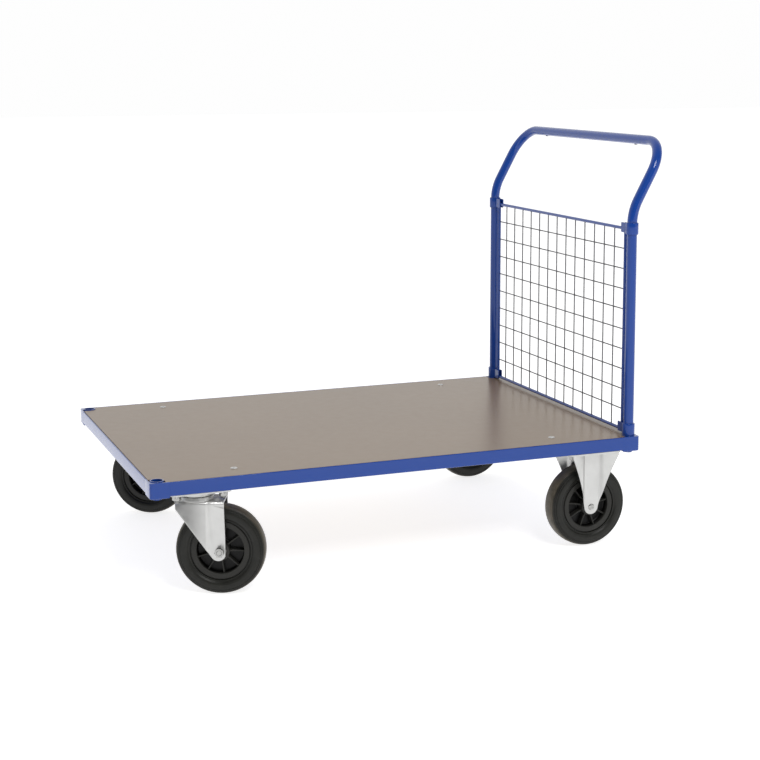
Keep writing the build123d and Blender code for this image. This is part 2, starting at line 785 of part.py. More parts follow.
def make_casters():
    """Two swivel casters under the free end and two fixed ones under the handle."""
    for side, y, swing in (("left", -caster_y, swing_left), ("right", caster_y, swing_right)):
        plate_seat = floor_plane(-caster_x, y)
        seat = floor_plane(-caster_x, y, swing)
        hub = hub_plane(seat, swivel_trail)
        make_caster_bolts(f"swivel_caster_bolts_{side}", plate_seat)
        make_swivel_head(side, plate_seat)
        make_fork(side, seat)
        make_swivel_axle(side, hub)
        make_wheel("swivel", side, hub)
    for side, y in (("left", -caster_y), ("right", caster_y)):
        seat = floor_plane(caster_x, y)
        hub = hub_plane(seat, 0)
        make_caster_bolts(f"fixed_caster_bolts_{side}", seat)
        make_fixed_bracket(side, seat)
        make_fixed_axle(side, hub)
        make_wheel("fixed", side, hub)


os.makedirs("parts", exist_ok=True)
make_frame()
make_deck()
make_handle()
make_mesh()
make_brackets()
make_casters()
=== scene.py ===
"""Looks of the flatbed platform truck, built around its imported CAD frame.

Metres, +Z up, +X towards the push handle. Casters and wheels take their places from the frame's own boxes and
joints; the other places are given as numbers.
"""

import json
import logging
import math
from dataclasses import dataclass, field
from enum import Enum
from typing import Callable, Optional, Sequence

import bmesh
import bpy
from mathutils import Matrix, Vector


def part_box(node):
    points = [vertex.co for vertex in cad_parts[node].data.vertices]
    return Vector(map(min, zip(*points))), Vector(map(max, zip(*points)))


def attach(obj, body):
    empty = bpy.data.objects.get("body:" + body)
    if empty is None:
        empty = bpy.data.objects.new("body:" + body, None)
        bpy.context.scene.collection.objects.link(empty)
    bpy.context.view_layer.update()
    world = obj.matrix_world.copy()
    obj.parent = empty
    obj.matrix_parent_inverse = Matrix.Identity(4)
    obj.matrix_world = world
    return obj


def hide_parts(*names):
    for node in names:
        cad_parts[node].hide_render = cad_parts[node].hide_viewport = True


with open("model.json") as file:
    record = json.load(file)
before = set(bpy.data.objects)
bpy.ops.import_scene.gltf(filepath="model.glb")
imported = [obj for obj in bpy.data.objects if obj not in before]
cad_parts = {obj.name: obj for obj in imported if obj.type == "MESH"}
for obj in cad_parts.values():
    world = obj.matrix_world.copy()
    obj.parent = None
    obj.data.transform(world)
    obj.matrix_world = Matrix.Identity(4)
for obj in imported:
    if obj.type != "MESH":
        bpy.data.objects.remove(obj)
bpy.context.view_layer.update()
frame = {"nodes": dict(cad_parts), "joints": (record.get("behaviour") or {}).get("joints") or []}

MM = 0.001
SHARP = 35.0  # edges that turn more than this many degrees stay crisp
DISHED = 50.0  # the same for pressed dishes, whose small steps shade smoothly
FOLD_CUTS = (0.0, 0.2, 0.4, 0.6, 0.8, 1.0)  # where a fold bends, as shares of its width
UP = Vector((0.0, 0.0, 1.0))
log = logging.getLogger("platform_truck")


class Side(Enum):
    """The operator's left and right, facing the deck from the handle."""

    LEFT = "left"
    RIGHT = "right"


class Mounting(Enum):
    """How a caster is fastened: turning on a ball race, or fixed."""

    SWIVEL = "swivel"
    FIXED = "fixed"


class Carving(Enum):
    """How a second solid is combined with a piece."""

    ADD = "UNION"
    CUT = "DIFFERENCE"
    KEEP = "INTERSECT"


# ------------------------------------------------------------------ shader graphs
class ShaderGraph:
    """A material whose surface is one Principled shader fed by procedural patterns."""

    def __init__(self, name: str) -> None:
        """Make the material.

        Args:
            name: The material's name.
        """
        self.material = bpy.data.materials.new(name)
        self.material.use_nodes = True
        self.nodes = self.material.node_tree.nodes
        self.links = self.material.node_tree.links
        self.shader = self.nodes["Principled BSDF"]
        self.place = self.nodes.new("ShaderNodeTexCoord").outputs["Object"]

    def set(self, **values: object) -> None:
        """Set the shader's own sockets; underscores in a name stand for spaces."""
        for name, value in values.items():
            self.shader.inputs[name.replace("_", " ")].default_value = value

    def stretched(self, scale: tuple[float, float, float]) -> bpy.types.NodeSocket:
        """Return object coordinates stretched by scale."""
        mapping = self.nodes.new("ShaderNodeMapping")
        mapping.inputs["Scale"].default_value = scale
        self.links.new(self.place, mapping.inputs["Vector"])
        return mapping.outputs["Vector"]

    def noise(self, scale: float, detail: float = 2.0, roughness: float = 0.5,
              vector: Optional[bpy.types.NodeSocket] = None) -> bpy.types.NodeSocket:
        """Return a noise value between 0 and 1.

        Args:
            scale: Patches per metre.
            detail: Octaves.
            roughness: Share that each octave keeps.
            vector: Coordinates, object ones if left out.

        Returns:
            The noise node's value socket.
        """
        node = self.nodes.new("ShaderNodeTexNoise")
        node.inputs["Scale"].default_value = scale
        node.inputs["Detail"].default_value = detail
        node.inputs["Roughness"].default_value = roughness
        self.links.new(vector or self.place, node.inputs["Vector"])
        return node.outputs["Fac"]

    def cells(self, scale: float) -> bpy.types.NodeSocket:
        """Return a value that is constant in each Voronoi cell, scale cells per metre."""
        node = self.nodes.new("ShaderNodeTexVoronoi")
        node.inputs["Scale"].default_value = scale
        self.links.new(self.place, node.inputs["Vector"])
        split = self.nodes.new("ShaderNodeSeparateColor")
        self.links.new(node.outputs["Color"], split.inputs["Color"])
        return split.outputs["Red"]

    def attribute(self, name: str) -> bpy.types.NodeSocket:
        """Return a piece's own float attribute."""
        node = self.nodes.new("ShaderNodeAttribute")
        node.attribute_name = name
        return node.outputs["Fac"]

    def spread(self, value: bpy.types.NodeSocket, low: float, high: float,
               start: float = 0.0, end: float = 1.0) -> bpy.types.NodeSocket:
        """Map a value to another range.

        Args:
            value: The value's socket.
            low: Result at the start.
            high: Result at the end.
            start: Value that gives low.
            end: Value that gives high.

        Returns:
            The mapped value's socket, held at low and high beyond the ends.
        """
        node = self.nodes.new("ShaderNodeMapRange")
        for label, limit in (("From Min", start), ("From Max", end), ("To Min", low), ("To Max", high)):
            node.inputs[label].default_value = limit
        self.links.new(value, node.inputs["Value"])
        return node.outputs["Result"]

    def blend(self, share: bpy.types.NodeSocket, first: object, second: object) -> bpy.types.NodeSocket:
        """Return a colour between first and second.

        Args:
            share: 0 for first and 1 for second.
            first: A colour or a socket.
            second: A colour or a socket.

        Returns:
            The mixed colour's socket.
        """
        node = self.nodes.new("ShaderNodeMix")
        node.data_type = "RGBA"
        self.links.new(share, node.inputs["Factor"])
        colours = [socket for socket in node.inputs if socket.type == "RGBA"]
        for socket, colour in zip(colours, (first, second)):
            if isinstance(colour, bpy.types.NodeSocket):
                self.links.new(colour, socket)
            else:
                socket.default_value = (*colour, 1.0)
        return next(socket for socket in node.outputs if socket.type == "RGBA")

    def product(self, first: bpy.types.NodeSocket, second: bpy.types.NodeSocket) -> bpy.types.NodeSocket:
        """Return the product of two values.

        Args:
            first: One value.
            second: The other value.

        Returns:
            The product's socket.
        """
        node = self.nodes.new("ShaderNodeMath")
        node.operation = "MULTIPLY"
        self.links.new(first, node.inputs[0])
        self.links.new(second, node.inputs[1])
        return node.outputs["Value"]

    def colour(self, socket: bpy.types.NodeSocket) -> None:
        """Feed the base colour."""
        self.links.new(socket, self.shader.inputs["Base Color"])

    def roughness(self, socket: bpy.types.NodeSocket) -> None:
        """Feed the roughness."""
        self.links.new(socket, self.shader.inputs["Roughness"])

    def bump(self, height: bpy.types.NodeSocket, depth: float, strength: float = 1.0) -> None:
        """Feed the normal from a height pattern.

        Args:
            height: Pattern between 0 and 1.
            depth: Metres from the pattern's lowest to its highest point.
            strength: Share of the effect that is kept.
        """
        node = self.nodes.new("ShaderNodeBump")
        node.inputs["Distance"].default_value = depth
        node.inputs["Strength"].default_value = strength
        self.links.new(height, node.inputs["Height"])
        self.links.new(node.outputs["Normal"], self.shader.inputs["Normal"])


# ------------------------------------------------------------------ finishes
Colour = tuple[float, float, float]


@dataclass(frozen=True)
class PowderCoat:
    """Baked blue paint with a faint orange peel."""

    colour: Colour = (0.006, 0.053, 0.300)
    deep: Colour = (0.005, 0.046, 0.275)
    peel_scale: float = 620.0
    peel_depth: float = 0.05 * MM
    gloss: float = 0.30

    def build(self) -> bpy.types.Material:
        """Return the paint."""
        graph = ShaderGraph("blue_powder_coat")
        graph.set(Specular_IOR_Level=0.08, Coat_Weight=1.0, Coat_IOR=1.41, Coat_Roughness=0.06)
        graph.colour(graph.blend(graph.noise(7.0, 3.0), self.colour, self.deep))
        graph.roughness(graph.spread(graph.noise(60.0, 4.0), self.gloss - 0.03, self.gloss + 0.08))
        graph.bump(graph.noise(self.peel_scale, 2.0), self.peel_depth, 0.5)
        return graph.material


@dataclass(frozen=True)
class Laminate:
    """Grey-beige melamine face with a fine print and a pearl texture."""

    colour: Colour = (0.230, 0.158, 0.096)
    dark: Colour = (0.217, 0.149, 0.090)
    fleck: Colour = (0.190, 0.130, 0.078)
    pearl_scale: float = 900.0
    pearl_depth: float = 0.012 * MM

    def build(self) -> bpy.types.Material:
        """Return the board's face."""
        graph = ShaderGraph("greige_laminate")
        graph.set(Specular_IOR_Level=0.5)
        cloud = graph.noise(3.2, 5.0, 0.6)
        base = graph.blend(graph.spread(cloud, 0.0, 1.0, 0.35, 0.65), self.colour, self.dark)
        flecks = graph.spread(graph.noise(420.0, 3.0, 0.7), 0.0, 0.55, 0.52, 0.70)
        graph.colour(graph.blend(flecks, base, self.fleck))
        graph.roughness(graph.spread(graph.noise(45.0, 5.0), 0.27, 0.33))
        graph.bump(graph.noise(self.pearl_scale, 2.0), self.pearl_depth, 0.3)
        return graph.material


@dataclass(frozen=True)
class ZincPlate:
    """Bright zinc on pressed steel: pale metal with a soft cloudy passivation."""

    name: str
    pale: Colour = (0.61, 0.61, 0.60)
    dull: Colour = (0.56, 0.56, 0.55)
    low_roughness: float = 0.30
    high_roughness: float = 0.40
    cloud_scale: float = 22.0
    metal: float = 1.0

    def build(self) -> bpy.types.Material:
        """Return the plating."""
        graph = ShaderGraph(self.name)
        graph.set(Metallic=self.metal)
        cloud = graph.noise(self.cloud_scale, 5.0, 0.6)
        graph.colour(graph.blend(graph.spread(cloud, 0.0, 1.0, 0.35, 0.68), self.pale, self.dull))
        wipe = graph.noise(85.0, 4.0)
        graph.roughness(graph.spread(wipe, self.low_roughness, self.high_roughness, 0.3, 0.7))
        grain = graph.noise(240.0, 3.0, 0.6, graph.stretched((1.0, 1.0, 0.12)))
        graph.bump(grain, 0.03 * MM, 0.35)
        return graph.material


@dataclass(frozen=True)
class GalvanisedWire:
    """Dull hot-dip zinc on drawn wire, darker where it has weathered."""

    light: Colour = (0.20, 0.20, 0.21)
    dark: Colour = (0.12, 0.12, 0.13)

    def build(self) -> bpy.types.Material:
        """Return the wire's finish."""
        graph = ShaderGraph("galvanised_wire")
        graph.set(Metallic=0.85)
        graph.colour(graph.blend(graph.cells(260.0), self.light, self.dark))
        graph.roughness(graph.spread(graph.noise(300.0), 0.38, 0.58))
        graph.bump(graph.noise(500.0), 0.05 * MM, 0.4)
        return graph.material


@dataclass(frozen=True)
class TyreRubber:
    """Solid rubber: dark sidewalls with a faint bloom, and a browner worn tread."""

    side: Colour = (0.0062, 0.0066, 0.0044)
    chalk: Colour = (0.0125, 0.0122, 0.0088)
    tread: Colour = (0.098, 0.084, 0.060)

    def build(self) -> bpy.types.Material:
        """Return the rubber."""
        graph = ShaderGraph("tyre_rubber")
        graph.set(Specular_IOR_Level=0.35)
        smudge = graph.spread(graph.noise(38.0, 5.0, 0.65), 0.0, 1.0, 0.4, 0.7)
        flank = graph.blend(smudge, self.side, self.chalk)
        mottle = graph.spread(graph.noise(60.0, 4.0), 0.55, 1.0, 0.35, 0.65)
        patchy = graph.product(graph.attribute("tread_wear"), mottle)
        graph.colour(graph.blend(patchy, flank, self.tread))
        graph.roughness(graph.spread(graph.noise(90.0, 4.0), 0.36, 0.50))
        graph.bump(graph.noise(800.0, 3.0), 0.06 * MM, 0.45)
        return graph.material


@dataclass(frozen=True)
class MouldedPlastic:
    """Black moulded polypropylene with a fine satin grain, and painted shade in the rim's recesses."""

    name: str
    # On the rim this near-black colour is painted shade: the recess round the web takes it.
    colour: Colour = (0.0022, 0.0022, 0.0020)
    # Lighter colour of the rim's faces outside the painted shade of its recess.
    unshaded_colour: Colour = (0.0330, 0.0325, 0.0290)
    satin: float = 0.34

    def build(self) -> bpy.types.Material:
        """Return the plastic."""
        graph = ShaderGraph(self.name)
        graph.set(Specular_IOR_Level=0.22)
        # Painted shade: the rim's recess keeps the near-black colour, and its faces clear of the recess take
        # the lighter one.
        mottle = graph.spread(graph.noise(30.0, 4.0), 0.55, 1.0)
        clear_of_shade = graph.product(graph.attribute("handled"), mottle)
        graph.colour(graph.blend(clear_of_shade, self.colour, self.unshaded_colour))
        graph.roughness(graph.spread(graph.noise(120.0, 3.0), self.satin - 0.06, self.satin + 0.10))
        graph.bump(graph.noise(1100.0, 2.0), 0.04 * MM, 0.5)
        return graph.material


def built(finish: object) -> bpy.types.Material:
    """Return a dataclass field that builds a finish when the set of finishes is made."""
    return field(default_factory=finish.build)


@dataclass
class Finishes:
    """Every finish of the truck, built once."""

    paint: bpy.types.Material = built(PowderCoat())
    laminate: bpy.types.Material = built(Laminate())
    zinc: bpy.types.Material = built(ZincPlate("bright_zinc", metal=0.8))
    fastener: bpy.types.Material = built(ZincPlate(
        "fastener_zinc", pale=(0.46, 0.46, 0.45), dull=(0.33, 0.33, 0.32), cloud_scale=90.0,
        low_roughness=0.22, high_roughness=0.32))
    bearing: bpy.types.Material = built(ZincPlate(
        "oiled_bearing_steel", pale=(0.50, 0.49, 0.47), dull=(0.36, 0.35, 0.33), low_roughness=0.15))
    wire: bpy.types.Material = built(GalvanisedWire())
    rubber: bpy.types.Material = built(TyreRubber())
    rim: bpy.types.Material = built(MouldedPlastic("wheel_plastic"))
    plug: bpy.types.Material = built(MouldedPlastic("plug_plastic", satin=0.5))


# ------------------------------------------------------------------ mesh helpers, in millimetres
def rounded_path(points: Sequence[Vector], radii: Sequence[float], steps: int = 8,
                 closed: bool = False) -> list[Vector]:
    """Replace the corners of a path by tangent arcs.

    Args:
        points: The corners.
        radii: One radius per corner; 0 keeps the corner sharp.
        steps: Pieces in each arc.
        closed: Whether the last point joins the first.

    Returns:
        The points of the rounded path.
    """
    result: list[Vector] = []
    last = len(points) - 1
    for index, (corner, radius) in enumerate(zip(points, radii)):
        if radius == 0 or (not closed and index in (0, last)):
            result.append(corner.copy())
            continue
        before = (points[index - 1] - corner).normalized()
        after = (points[(index + 1) % len(points)] - corner).normalized()
        turn = math.pi - before.angle(after)
        centre = corner + (before + after).normalized() * (radius / math.cos(turn / 2))
        start = corner + before * (radius * math.tan(turn / 2)) - centre
        end = corner + after * (radius * math.tan(turn / 2)) - centre
        for step in range(steps + 1):
            share = step / steps
            spoke = start * math.sin((1 - share) * turn) + end * math.sin(share * turn)
            result.append(centre + spoke / math.sin(turn))
    return result


def outline(corners: Sequence[tuple[float, float, float]], steps: int = 5) -> list[Vector]:
    """Return a closed flat outline from corners given as u, v and corner radius."""
    points = [Vector((u, v, 0.0)) for u, v, _ in corners]
    return rounded_path(points, [radius for _, _, radius in corners], steps, closed=True)


def rectangle(half_u: float, half_v: float, radius: float, steps: int = 5) -> list[Vector]:
    """Return the outline of a centred rectangle with round corners."""
    corners = ((-half_u, -half_v), (half_u, -half_v), (half_u, half_v), (-half_u, half_v))
    return outline([(u, v, radius) for u, v in corners], steps)


def fold_lines(mesh: bmesh.types.BMesh, places: Sequence[float]) -> None:
    """Cut a mesh across x, so that it can bend there.

    Args:
        mesh: The mesh to cut.
        places: The x of each cut, in the mesh's own units.
    """
    for place in places:
        bmesh.ops.bisect_plane(mesh, geom=[*mesh.verts, *mesh.edges, *mesh.faces],
                               plane_co=(place, 0.0, 0.0), plane_no=(1.0, 0.0, 0.0))


def fold_rise(beyond: float, height: float, width: float, slope: float) -> float:
    """Return how far a sheet stands out beyond a fold.

    Args:
        beyond: Distance from the fold's start; less than zero is before it.
        height: Rise of the fold's steep part.
        width: Width of the steep part.
        slope: Rise of the sheet for each unit of distance, all along.

    Returns:
        The rise.
    """
    beyond = max(0.0, beyond)
    share = min(1.0, beyond / width)
    return height * share * share * (3.0 - 2.0 * share) + slope * beyond


def placed(origin: Sequence[float], x_dir: Sequence[float], z_dir: Sequence[float]) -> Matrix:
    """Return the matrix that moves local axes to a place.

    Args:
        origin: Where the local origin goes.
        x_dir: Direction of local x.
        z_dir: Direction of local z, at right angles to it.

    Returns:
        The matrix.
    """
    z_axis = Vector(z_dir).normalized()
    x_axis = Vector(x_dir).normalized()
    y_axis = z_axis.cross(x_axis)
    matrix = Matrix((x_axis, y_axis, z_axis)).transposed().to_4x4()
    matrix.translation = Vector(origin)
    return matrix


def prism(points: Sequence[Vector], low: float, high: float) -> bmesh.types.BMesh:
    """Build a closed prism along local z.

    Args:
        points: Its flat outline.
        low: Its lower end.
        high: Its upper end.

    Returns:
        The prism's mesh.
    """
    mesh = bmesh.new()
    rings = [[mesh.verts.new((point.x, point.y, z)) for point in points] for z in (low, high)]
    count = len(points)
    mesh.faces.new(list(reversed(rings[0])))
    mesh.faces.new(rings[1])
    for index in range(count):
        after = (index + 1) % count
        mesh.faces.new((rings[0][index], rings[0][after], rings[1][after], rings[1][index]))
    bmesh.ops.recalc_face_normals(mesh, faces=mesh.faces)
    return mesh


def lathe(profile: Sequence[tuple[float, float]], segments: int, closed: bool = True) -> bmesh.types.BMesh:
    """Turn a profile round local z.

    Args:
        profile: Radius and height of each point.
        segments: Steps round the axis.
        closed: Whether the last point joins the first; otherwise its ends are on the axis.

    Returns:
        The turned mesh.
    """
    mesh = bmesh.new()
    rings = []
    for step in range(segments):
        angle = 2 * math.pi * step / segments
        rings.append([mesh.verts.new((r * math.cos(angle), r * math.sin(angle), z)) for r, z in profile])
    spans = len(profile) if closed else len(profile) - 1
    for step in range(segments):
        here, there = rings[step], rings[(step + 1) % segments]
        for index in range(spans):
            after = (index + 1) % len(profile)
            mesh.faces.new((here[index], there[index], there[after], here[after]))
    bmesh.ops.remove_doubles(mesh, verts=mesh.verts, dist=1e-5)
    bmesh.ops.recalc_face_normals(mesh, faces=mesh.faces)
    return mesh


def mirrored_lathe(half: Sequence[tuple[float, float, float]], segments: int) -> bmesh.types.BMesh:
    """Turn a profile that is the same on both sides of z 0.

    Args:
        half: Radius, height and corner radius of the corners above z 0, from the bore outwards.
        segments: Steps round the axis.

    Returns:
        The turned mesh.
    """
    corners = [*half, *((radius, -z, rounding) for radius, z, rounding in reversed(half))]
    return lathe([(point.x, point.y) for point in outline(corners)], segments)


def strip(sections: Sequence[Sequence[Vector]]) -> bmesh.types.BMesh:
    """Skin a closed solid over a row of sections.

    Args:
        sections: Closed outlines with equally many points.

    Returns:
        The solid's mesh.
    """
    mesh = bmesh.new()
    rings = [[mesh.verts.new(point) for point in section] for section in sections]
    count = len(rings[0])
    for here, there in zip(rings, rings[1:]):
        for index in range(count):
            after = (index + 1) % count
            mesh.faces.new((here[index], here[after], there[after], there[index]))
    mesh.faces.new(list(reversed(rings[0])))
    mesh.faces.new(rings[-1])
    bmesh.ops.recalc_face_normals(mesh, faces=mesh.faces)
    return mesh


def join(parts: Sequence[tuple[bmesh.types.BMesh, Matrix]]) -> bmesh.types.BMesh:
    """Join meshes into one.

    Args:
        parts: Each mesh, which is freed, with the matrix that moves it.

    Returns:
        The joined mesh.
    """
    whole = bmesh.new()
    scratch = bpy.data.meshes.new("scratch")
    for part, matrix in parts:
        part.transform(matrix)
        part.to_mesh(scratch)
        whole.from_mesh(scratch)
        part.free()
    bpy.data.meshes.remove(scratch)
    return whole


def finish_mesh(name: str, mesh: bmesh.types.BMesh, material: bpy.types.Material,
                sharp: float = SHARP) -> bpy.types.Object:
    """Turn a mesh built in millimetres into a smooth-shaded object in metres.

    Args:
        name: The piece's name.
        mesh: The built mesh, which is freed.
        material: Its finish.
        sharp: Edges that turn more than this many degrees stay crisp.

    Returns:
        The new object.
    """
    data = bpy.data.meshes.new(name)
    bmesh.ops.scale(mesh, vec=(MM, MM, MM), verts=mesh.verts)
    mesh.to_mesh(data)
    mesh.free()
    data.materials.append(material)
    piece = bpy.data.objects.new(name, data)
    bpy.context.scene.collection.objects.link(piece)
    data.shade_smooth()
    data.set_sharp_from_angle(angle=math.radians(sharp))
    return piece


def settle(piece: bpy.types.Object) -> None:
    """Bake a piece's modifiers into a plain mesh and remove them."""
    graph = bpy.context.evaluated_depsgraph_get()
    baked = bpy.data.meshes.new_from_object(piece.evaluated_get(graph), depsgraph=graph)
    baked.name = piece.name
    piece.modifiers.clear()
    piece.data = baked


def break_edges(piece: bpy.types.Object, width: float) -> None:
    """Round the sharp edges of a piece by a small bevel, width in millimetres."""
    bevel = piece.modifiers.new("edge_break", "BEVEL")
    bevel.width = width * MM
    bevel.segments = 2
    bevel.limit_method = "ANGLE"
    bevel.angle_limit = math.radians(SHARP)
    bevel.use_clamp_overlap = True
    bevel.harden_normals = True
    settle(piece)


def carve(piece: bpy.types.Object, cutter: bpy.types.Object, operation: Carving) -> None:
    """Combine a piece with another solid, which is used up.

    Args:
        piece: The solid that stays.
        cutter: The other solid.
        operation: How they are combined.
    """
    boolean = piece.modifiers.new("carve", "BOOLEAN")
    boolean.object = cutter
    boolean.operation = operation.value
    boolean.solver = "EXACT"
    settle(piece)
    bpy.data.objects.remove(cutter)
    piece.data.shade_smooth()
    piece.data.set_sharp_from_angle(angle=math.radians(SHARP))


def mark(piece: bpy.types.Object, name: str, rule: Callable[[Vector], float]) -> None:
    """Write a value between 0 and 1 on every vertex.

    Args:
        piece: The piece to mark.
        name: The attribute's name.
        rule: Gives the value for a place in millimetres, before it is held between 0 and 1.
    """
    layer = piece.data.attributes.new(name, "FLOAT", "POINT")
    for index, vert in enumerate(piece.data.vertices):
        layer.data[index].value = min(1.0, max(0.0, rule(vert.co / MM)))


def hand_over(piece: bpy.types.Object, body: str, slot: str, *nodes: str) -> None:
    """Let a piece ride on a body in place of its CAD nodes.

    Args:
        piece: The finished piece.
        body: The CAD body it moves with.
        slot: The record's material slot; not used.
        nodes: The CAD nodes it stands for.
    """
    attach(piece, body)
    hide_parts(*nodes)
    log.info("%s rides on %s for %s", piece.name, body, ", ".join(nodes))


# ------------------------------------------------------------------ geometry node trees
class NodeTree:
    """A small wrapper round a Geometry Nodes tree with named inputs."""

    def __init__(self, name: str, inputs: dict[str, str]) -> None:
        """Make the tree.

        Args:
            name: The tree's name.
            inputs: Socket type of each named input.
        """
        self.tree = bpy.data.node_groups.new(name, "GeometryNodeTree")
        self.identifiers: dict[str, str] = {}
        self.tree.interface.new_socket("Geometry", in_out="INPUT", socket_type="NodeSocketGeometry")
        for label, kind in inputs.items():
            socket = self.tree.interface.new_socket(label, in_out="INPUT", socket_type=kind)
            self.identifiers[label] = socket.identifier
        self.tree.interface.new_socket("Geometry", in_out="OUTPUT", socket_type="NodeSocketGeometry")
        self.entry = self.tree.nodes.new("NodeGroupInput")
        self.exit = self.tree.nodes.new("NodeGroupOutput")

    def node(self, kind: str, **inputs: object) -> bpy.types.Node:
        """Add a node.

        Args:
            kind: The node's type.
            inputs: Its sockets by name, with underscores for spaces: a socket to link or a value.

        Returns:
            The node.
        """
        node = self.tree.nodes.new(kind)
        for key, value in inputs.items():
            socket = node.inputs[key.replace("_", " ")]
            if isinstance(value, bpy.types.NodeSocket):
                self.tree.links.new(value, socket)
            else:
                socket.default_value = value
        return node

    def given(self, label: str) -> bpy.types.NodeSocket:
        """Return the group input with this label."""
        return self.entry.outputs[label]

    def tube(self, curve: bpy.types.NodeSocket) -> bpy.types.NodeSocket:
        """Return a capped round tube along a curve, with the tree's Radius and Sides."""
        ring = self.node("GeometryNodeCurvePrimitiveCircle", Resolution=self.given("Sides"),
                         Radius=self.given("Radius"))
        tube = self.node("GeometryNodeCurveToMesh", Curve=curve, Profile_Curve=ring.outputs["Curve"],
                         Fill_Caps=True)
        return tube.outputs["Mesh"]

    def end(self, geometry: bpy.types.NodeSocket) -> None:
        """Close the tree with Realize Instances, smooth shading and Set Material."""
        real = self.node("GeometryNodeRealizeInstances", Geometry=geometry)
        smooth = self.node("GeometryNodeSetShadeSmooth", Geometry=real.outputs["Geometry"])
        paint = self.node("GeometryNodeSetMaterial", Geometry=smooth.outputs["Geometry"],
                          Material=self.given("Material"))
        self.tree.links.new(paint.outputs["Geometry"], self.exit.inputs["Geometry"])

    def run(self, name: str, base: bpy.types.Mesh, **values: object) -> bpy.types.Object:
        """Run the tree on a mesh and return the plain result.

        Args:
            name: The new piece's name.
            base: The mesh that goes in.
            values: The inputs by label, with underscores for spaces.

        Returns:
            An object with a plain mesh.
        """
        piece = bpy.data.objects.new(name, base)
        bpy.context.scene.collection.objects.link(piece)
        modifier = piece.modifiers.new(self.tree.name, "NODES")
        modifier.node_group = self.tree
        for label, value in values.items():
            modifier[self.identifiers[label.replace("_", " ")]] = value
        settle(piece)
        piece.data.set_sharp_from_angle(angle=math.radians(SHARP))
        return piece


TUBE_INPUTS = {"Radius": "NodeSocketFloat", "Sides": "NodeSocketInt", "Material": "NodeSocketMaterial"}


def tube_tree() -> NodeTree:
    """Return a tree that runs a round tube along a path of mesh edges."""
    tree = NodeTree("tube_on_path", TUBE_INPUTS)
    path = tree.node("GeometryNodeMeshToCurve", Mesh=tree.given("Geometry"))
    tree.end(tree.tube(path.outputs["Curve"]))
    return tree


def row_tree() -> NodeTree:
    """Return a tree that lays a row of straight round wires side by side."""
    tree = NodeTree("row_of_wires", {
        "Count": "NodeSocketInt", "Start": "NodeSocketVector", "Step": "NodeSocketVector",
        "Reach": "NodeSocketVector", **TUBE_INPUTS})
    places = tree.node("GeometryNodeMeshLine", Count=tree.given("Count"), Start_Location=tree.given("Start"),
                       Offset=tree.given("Step"))
    line = tree.node("GeometryNodeCurvePrimitiveLine", End=tree.given("Reach"))
    row = tree.node("GeometryNodeInstanceOnPoints", Points=places.outputs["Mesh"],
                    Instance=tree.tube(line.outputs["Curve"]))
    tree.end(row.outputs["Instances"])
    return tree


def scatter_tree() -> NodeTree:
    """Return a tree that sets a copy of a part on every vertex, turned about z by the vertex's turn."""
    tree = NodeTree("part_on_points", {"Part": "NodeSocketObject", "Material": "NodeSocketMaterial"})
    part = tree.node("GeometryNodeObjectInfo", Object=tree.given("Part"))
    turn = tree.node("GeometryNodeInputNamedAttribute", Name="turn")
    spin = tree.node("ShaderNodeCombineXYZ", Z=turn.outputs["Attribute"])
    copies = tree.node("GeometryNodeInstanceOnPoints", Points=tree.given("Geometry"),
                       Instance=part.outputs["Geometry"], Rotation=spin.outputs["Vector"])
    tree.end(copies.outputs["Instances"])
    return tree


def point_mesh(points: Sequence[Vector], turns: Optional[Sequence[float]] = None,
               edges: bool = False) -> bpy.types.Mesh:
    """Return the mesh that a tree runs on.

    Args:
        points: Its vertices, in millimetres.
        turns: Angle about z that each vertex carries, zero if left out.
        edges: Whether the vertices are joined into a path.

    Returns:
        The mesh, in metres.
    """
    data = bpy.data.meshes.new("points")
    links = [(index, index + 1) for index in range(len(points) - 1)] if edges else []
    data.from_pydata([tuple(point * MM) for point in points], links, [])
    turn = data.attributes.new("turn", "FLOAT", "POINT")
    turn.data.foreach_set("value", list(turns or [0.0] * len(points)))
    return data


@dataclass
class Workshop:
    """The finishes and the node trees that all sub-assemblies share."""

    finish: Finishes = field(default_factory=Finishes)
    tube: NodeTree = field(default_factory=tube_tree)
    row: NodeTree = field(default_factory=row_tree)
    scatter: NodeTree = field(default_factory=scatter_tree)

    def copies(self, name: str, part: bmesh.types.BMesh, points: Sequence[Vector],
               material: bpy.types.Material, turns: Optional[Sequence[float]] = None) -> bpy.types.Object:
        """Set copies of a part on points.

        Args:
            name: The piece's name.
            part: The part, built at the origin; it is freed.
            points: Where the copies stand.
            material: Their finish.
            turns: Angle of each copy about z, in radians.

        Returns:
            One plain mesh object of all copies.
        """
        pattern = finish_mesh(f"{name}_pattern", part, material)
        piece = self.scatter.run(name, point_mesh(points, turns), Part=pattern, Material=material)
        bpy.data.objects.remove(pattern)
        return piece


def hexagon(across: float, height: float, chamfer: float = 0.6, dish: float = 0.0) -> bmesh.types.BMesh:
    """Return a hex head or nut from z 0 up, with its corners turned off by a chamfer.

    Args:
        across: Width across the flats.
        height: Its height.
        chamfer: How far down the corners are turned off.
        dish: Radius of a shallow round dish in the lower face; 0 leaves it flat.

    Returns:
        The mesh.
    """
    steps, spread = 36, across / math.sqrt(3) - across / 2
    turn = [2 * math.pi * step / steps for step in range(steps)]
    sides = [across / 2 / math.cos((angle + math.pi / 6) % (math.pi / 3) - math.pi / 6) for angle in turn]
    levels = [(z, [min(side, across / 2 + share * spread) for side in sides])
              for z, share in ((0.0, 0.15), (chamfer, 1.0), (height - chamfer, 1.0), (height, 0.15))]
    if dish:
        levels = [(1.3, [dish - 1.2] * steps), (0.0, [dish] * steps), *levels]
    return strip([[Vector((reach * math.cos(angle), reach * math.sin(angle), z))
                   for reach, angle in zip(reaches, turn)] for z, reaches in levels])


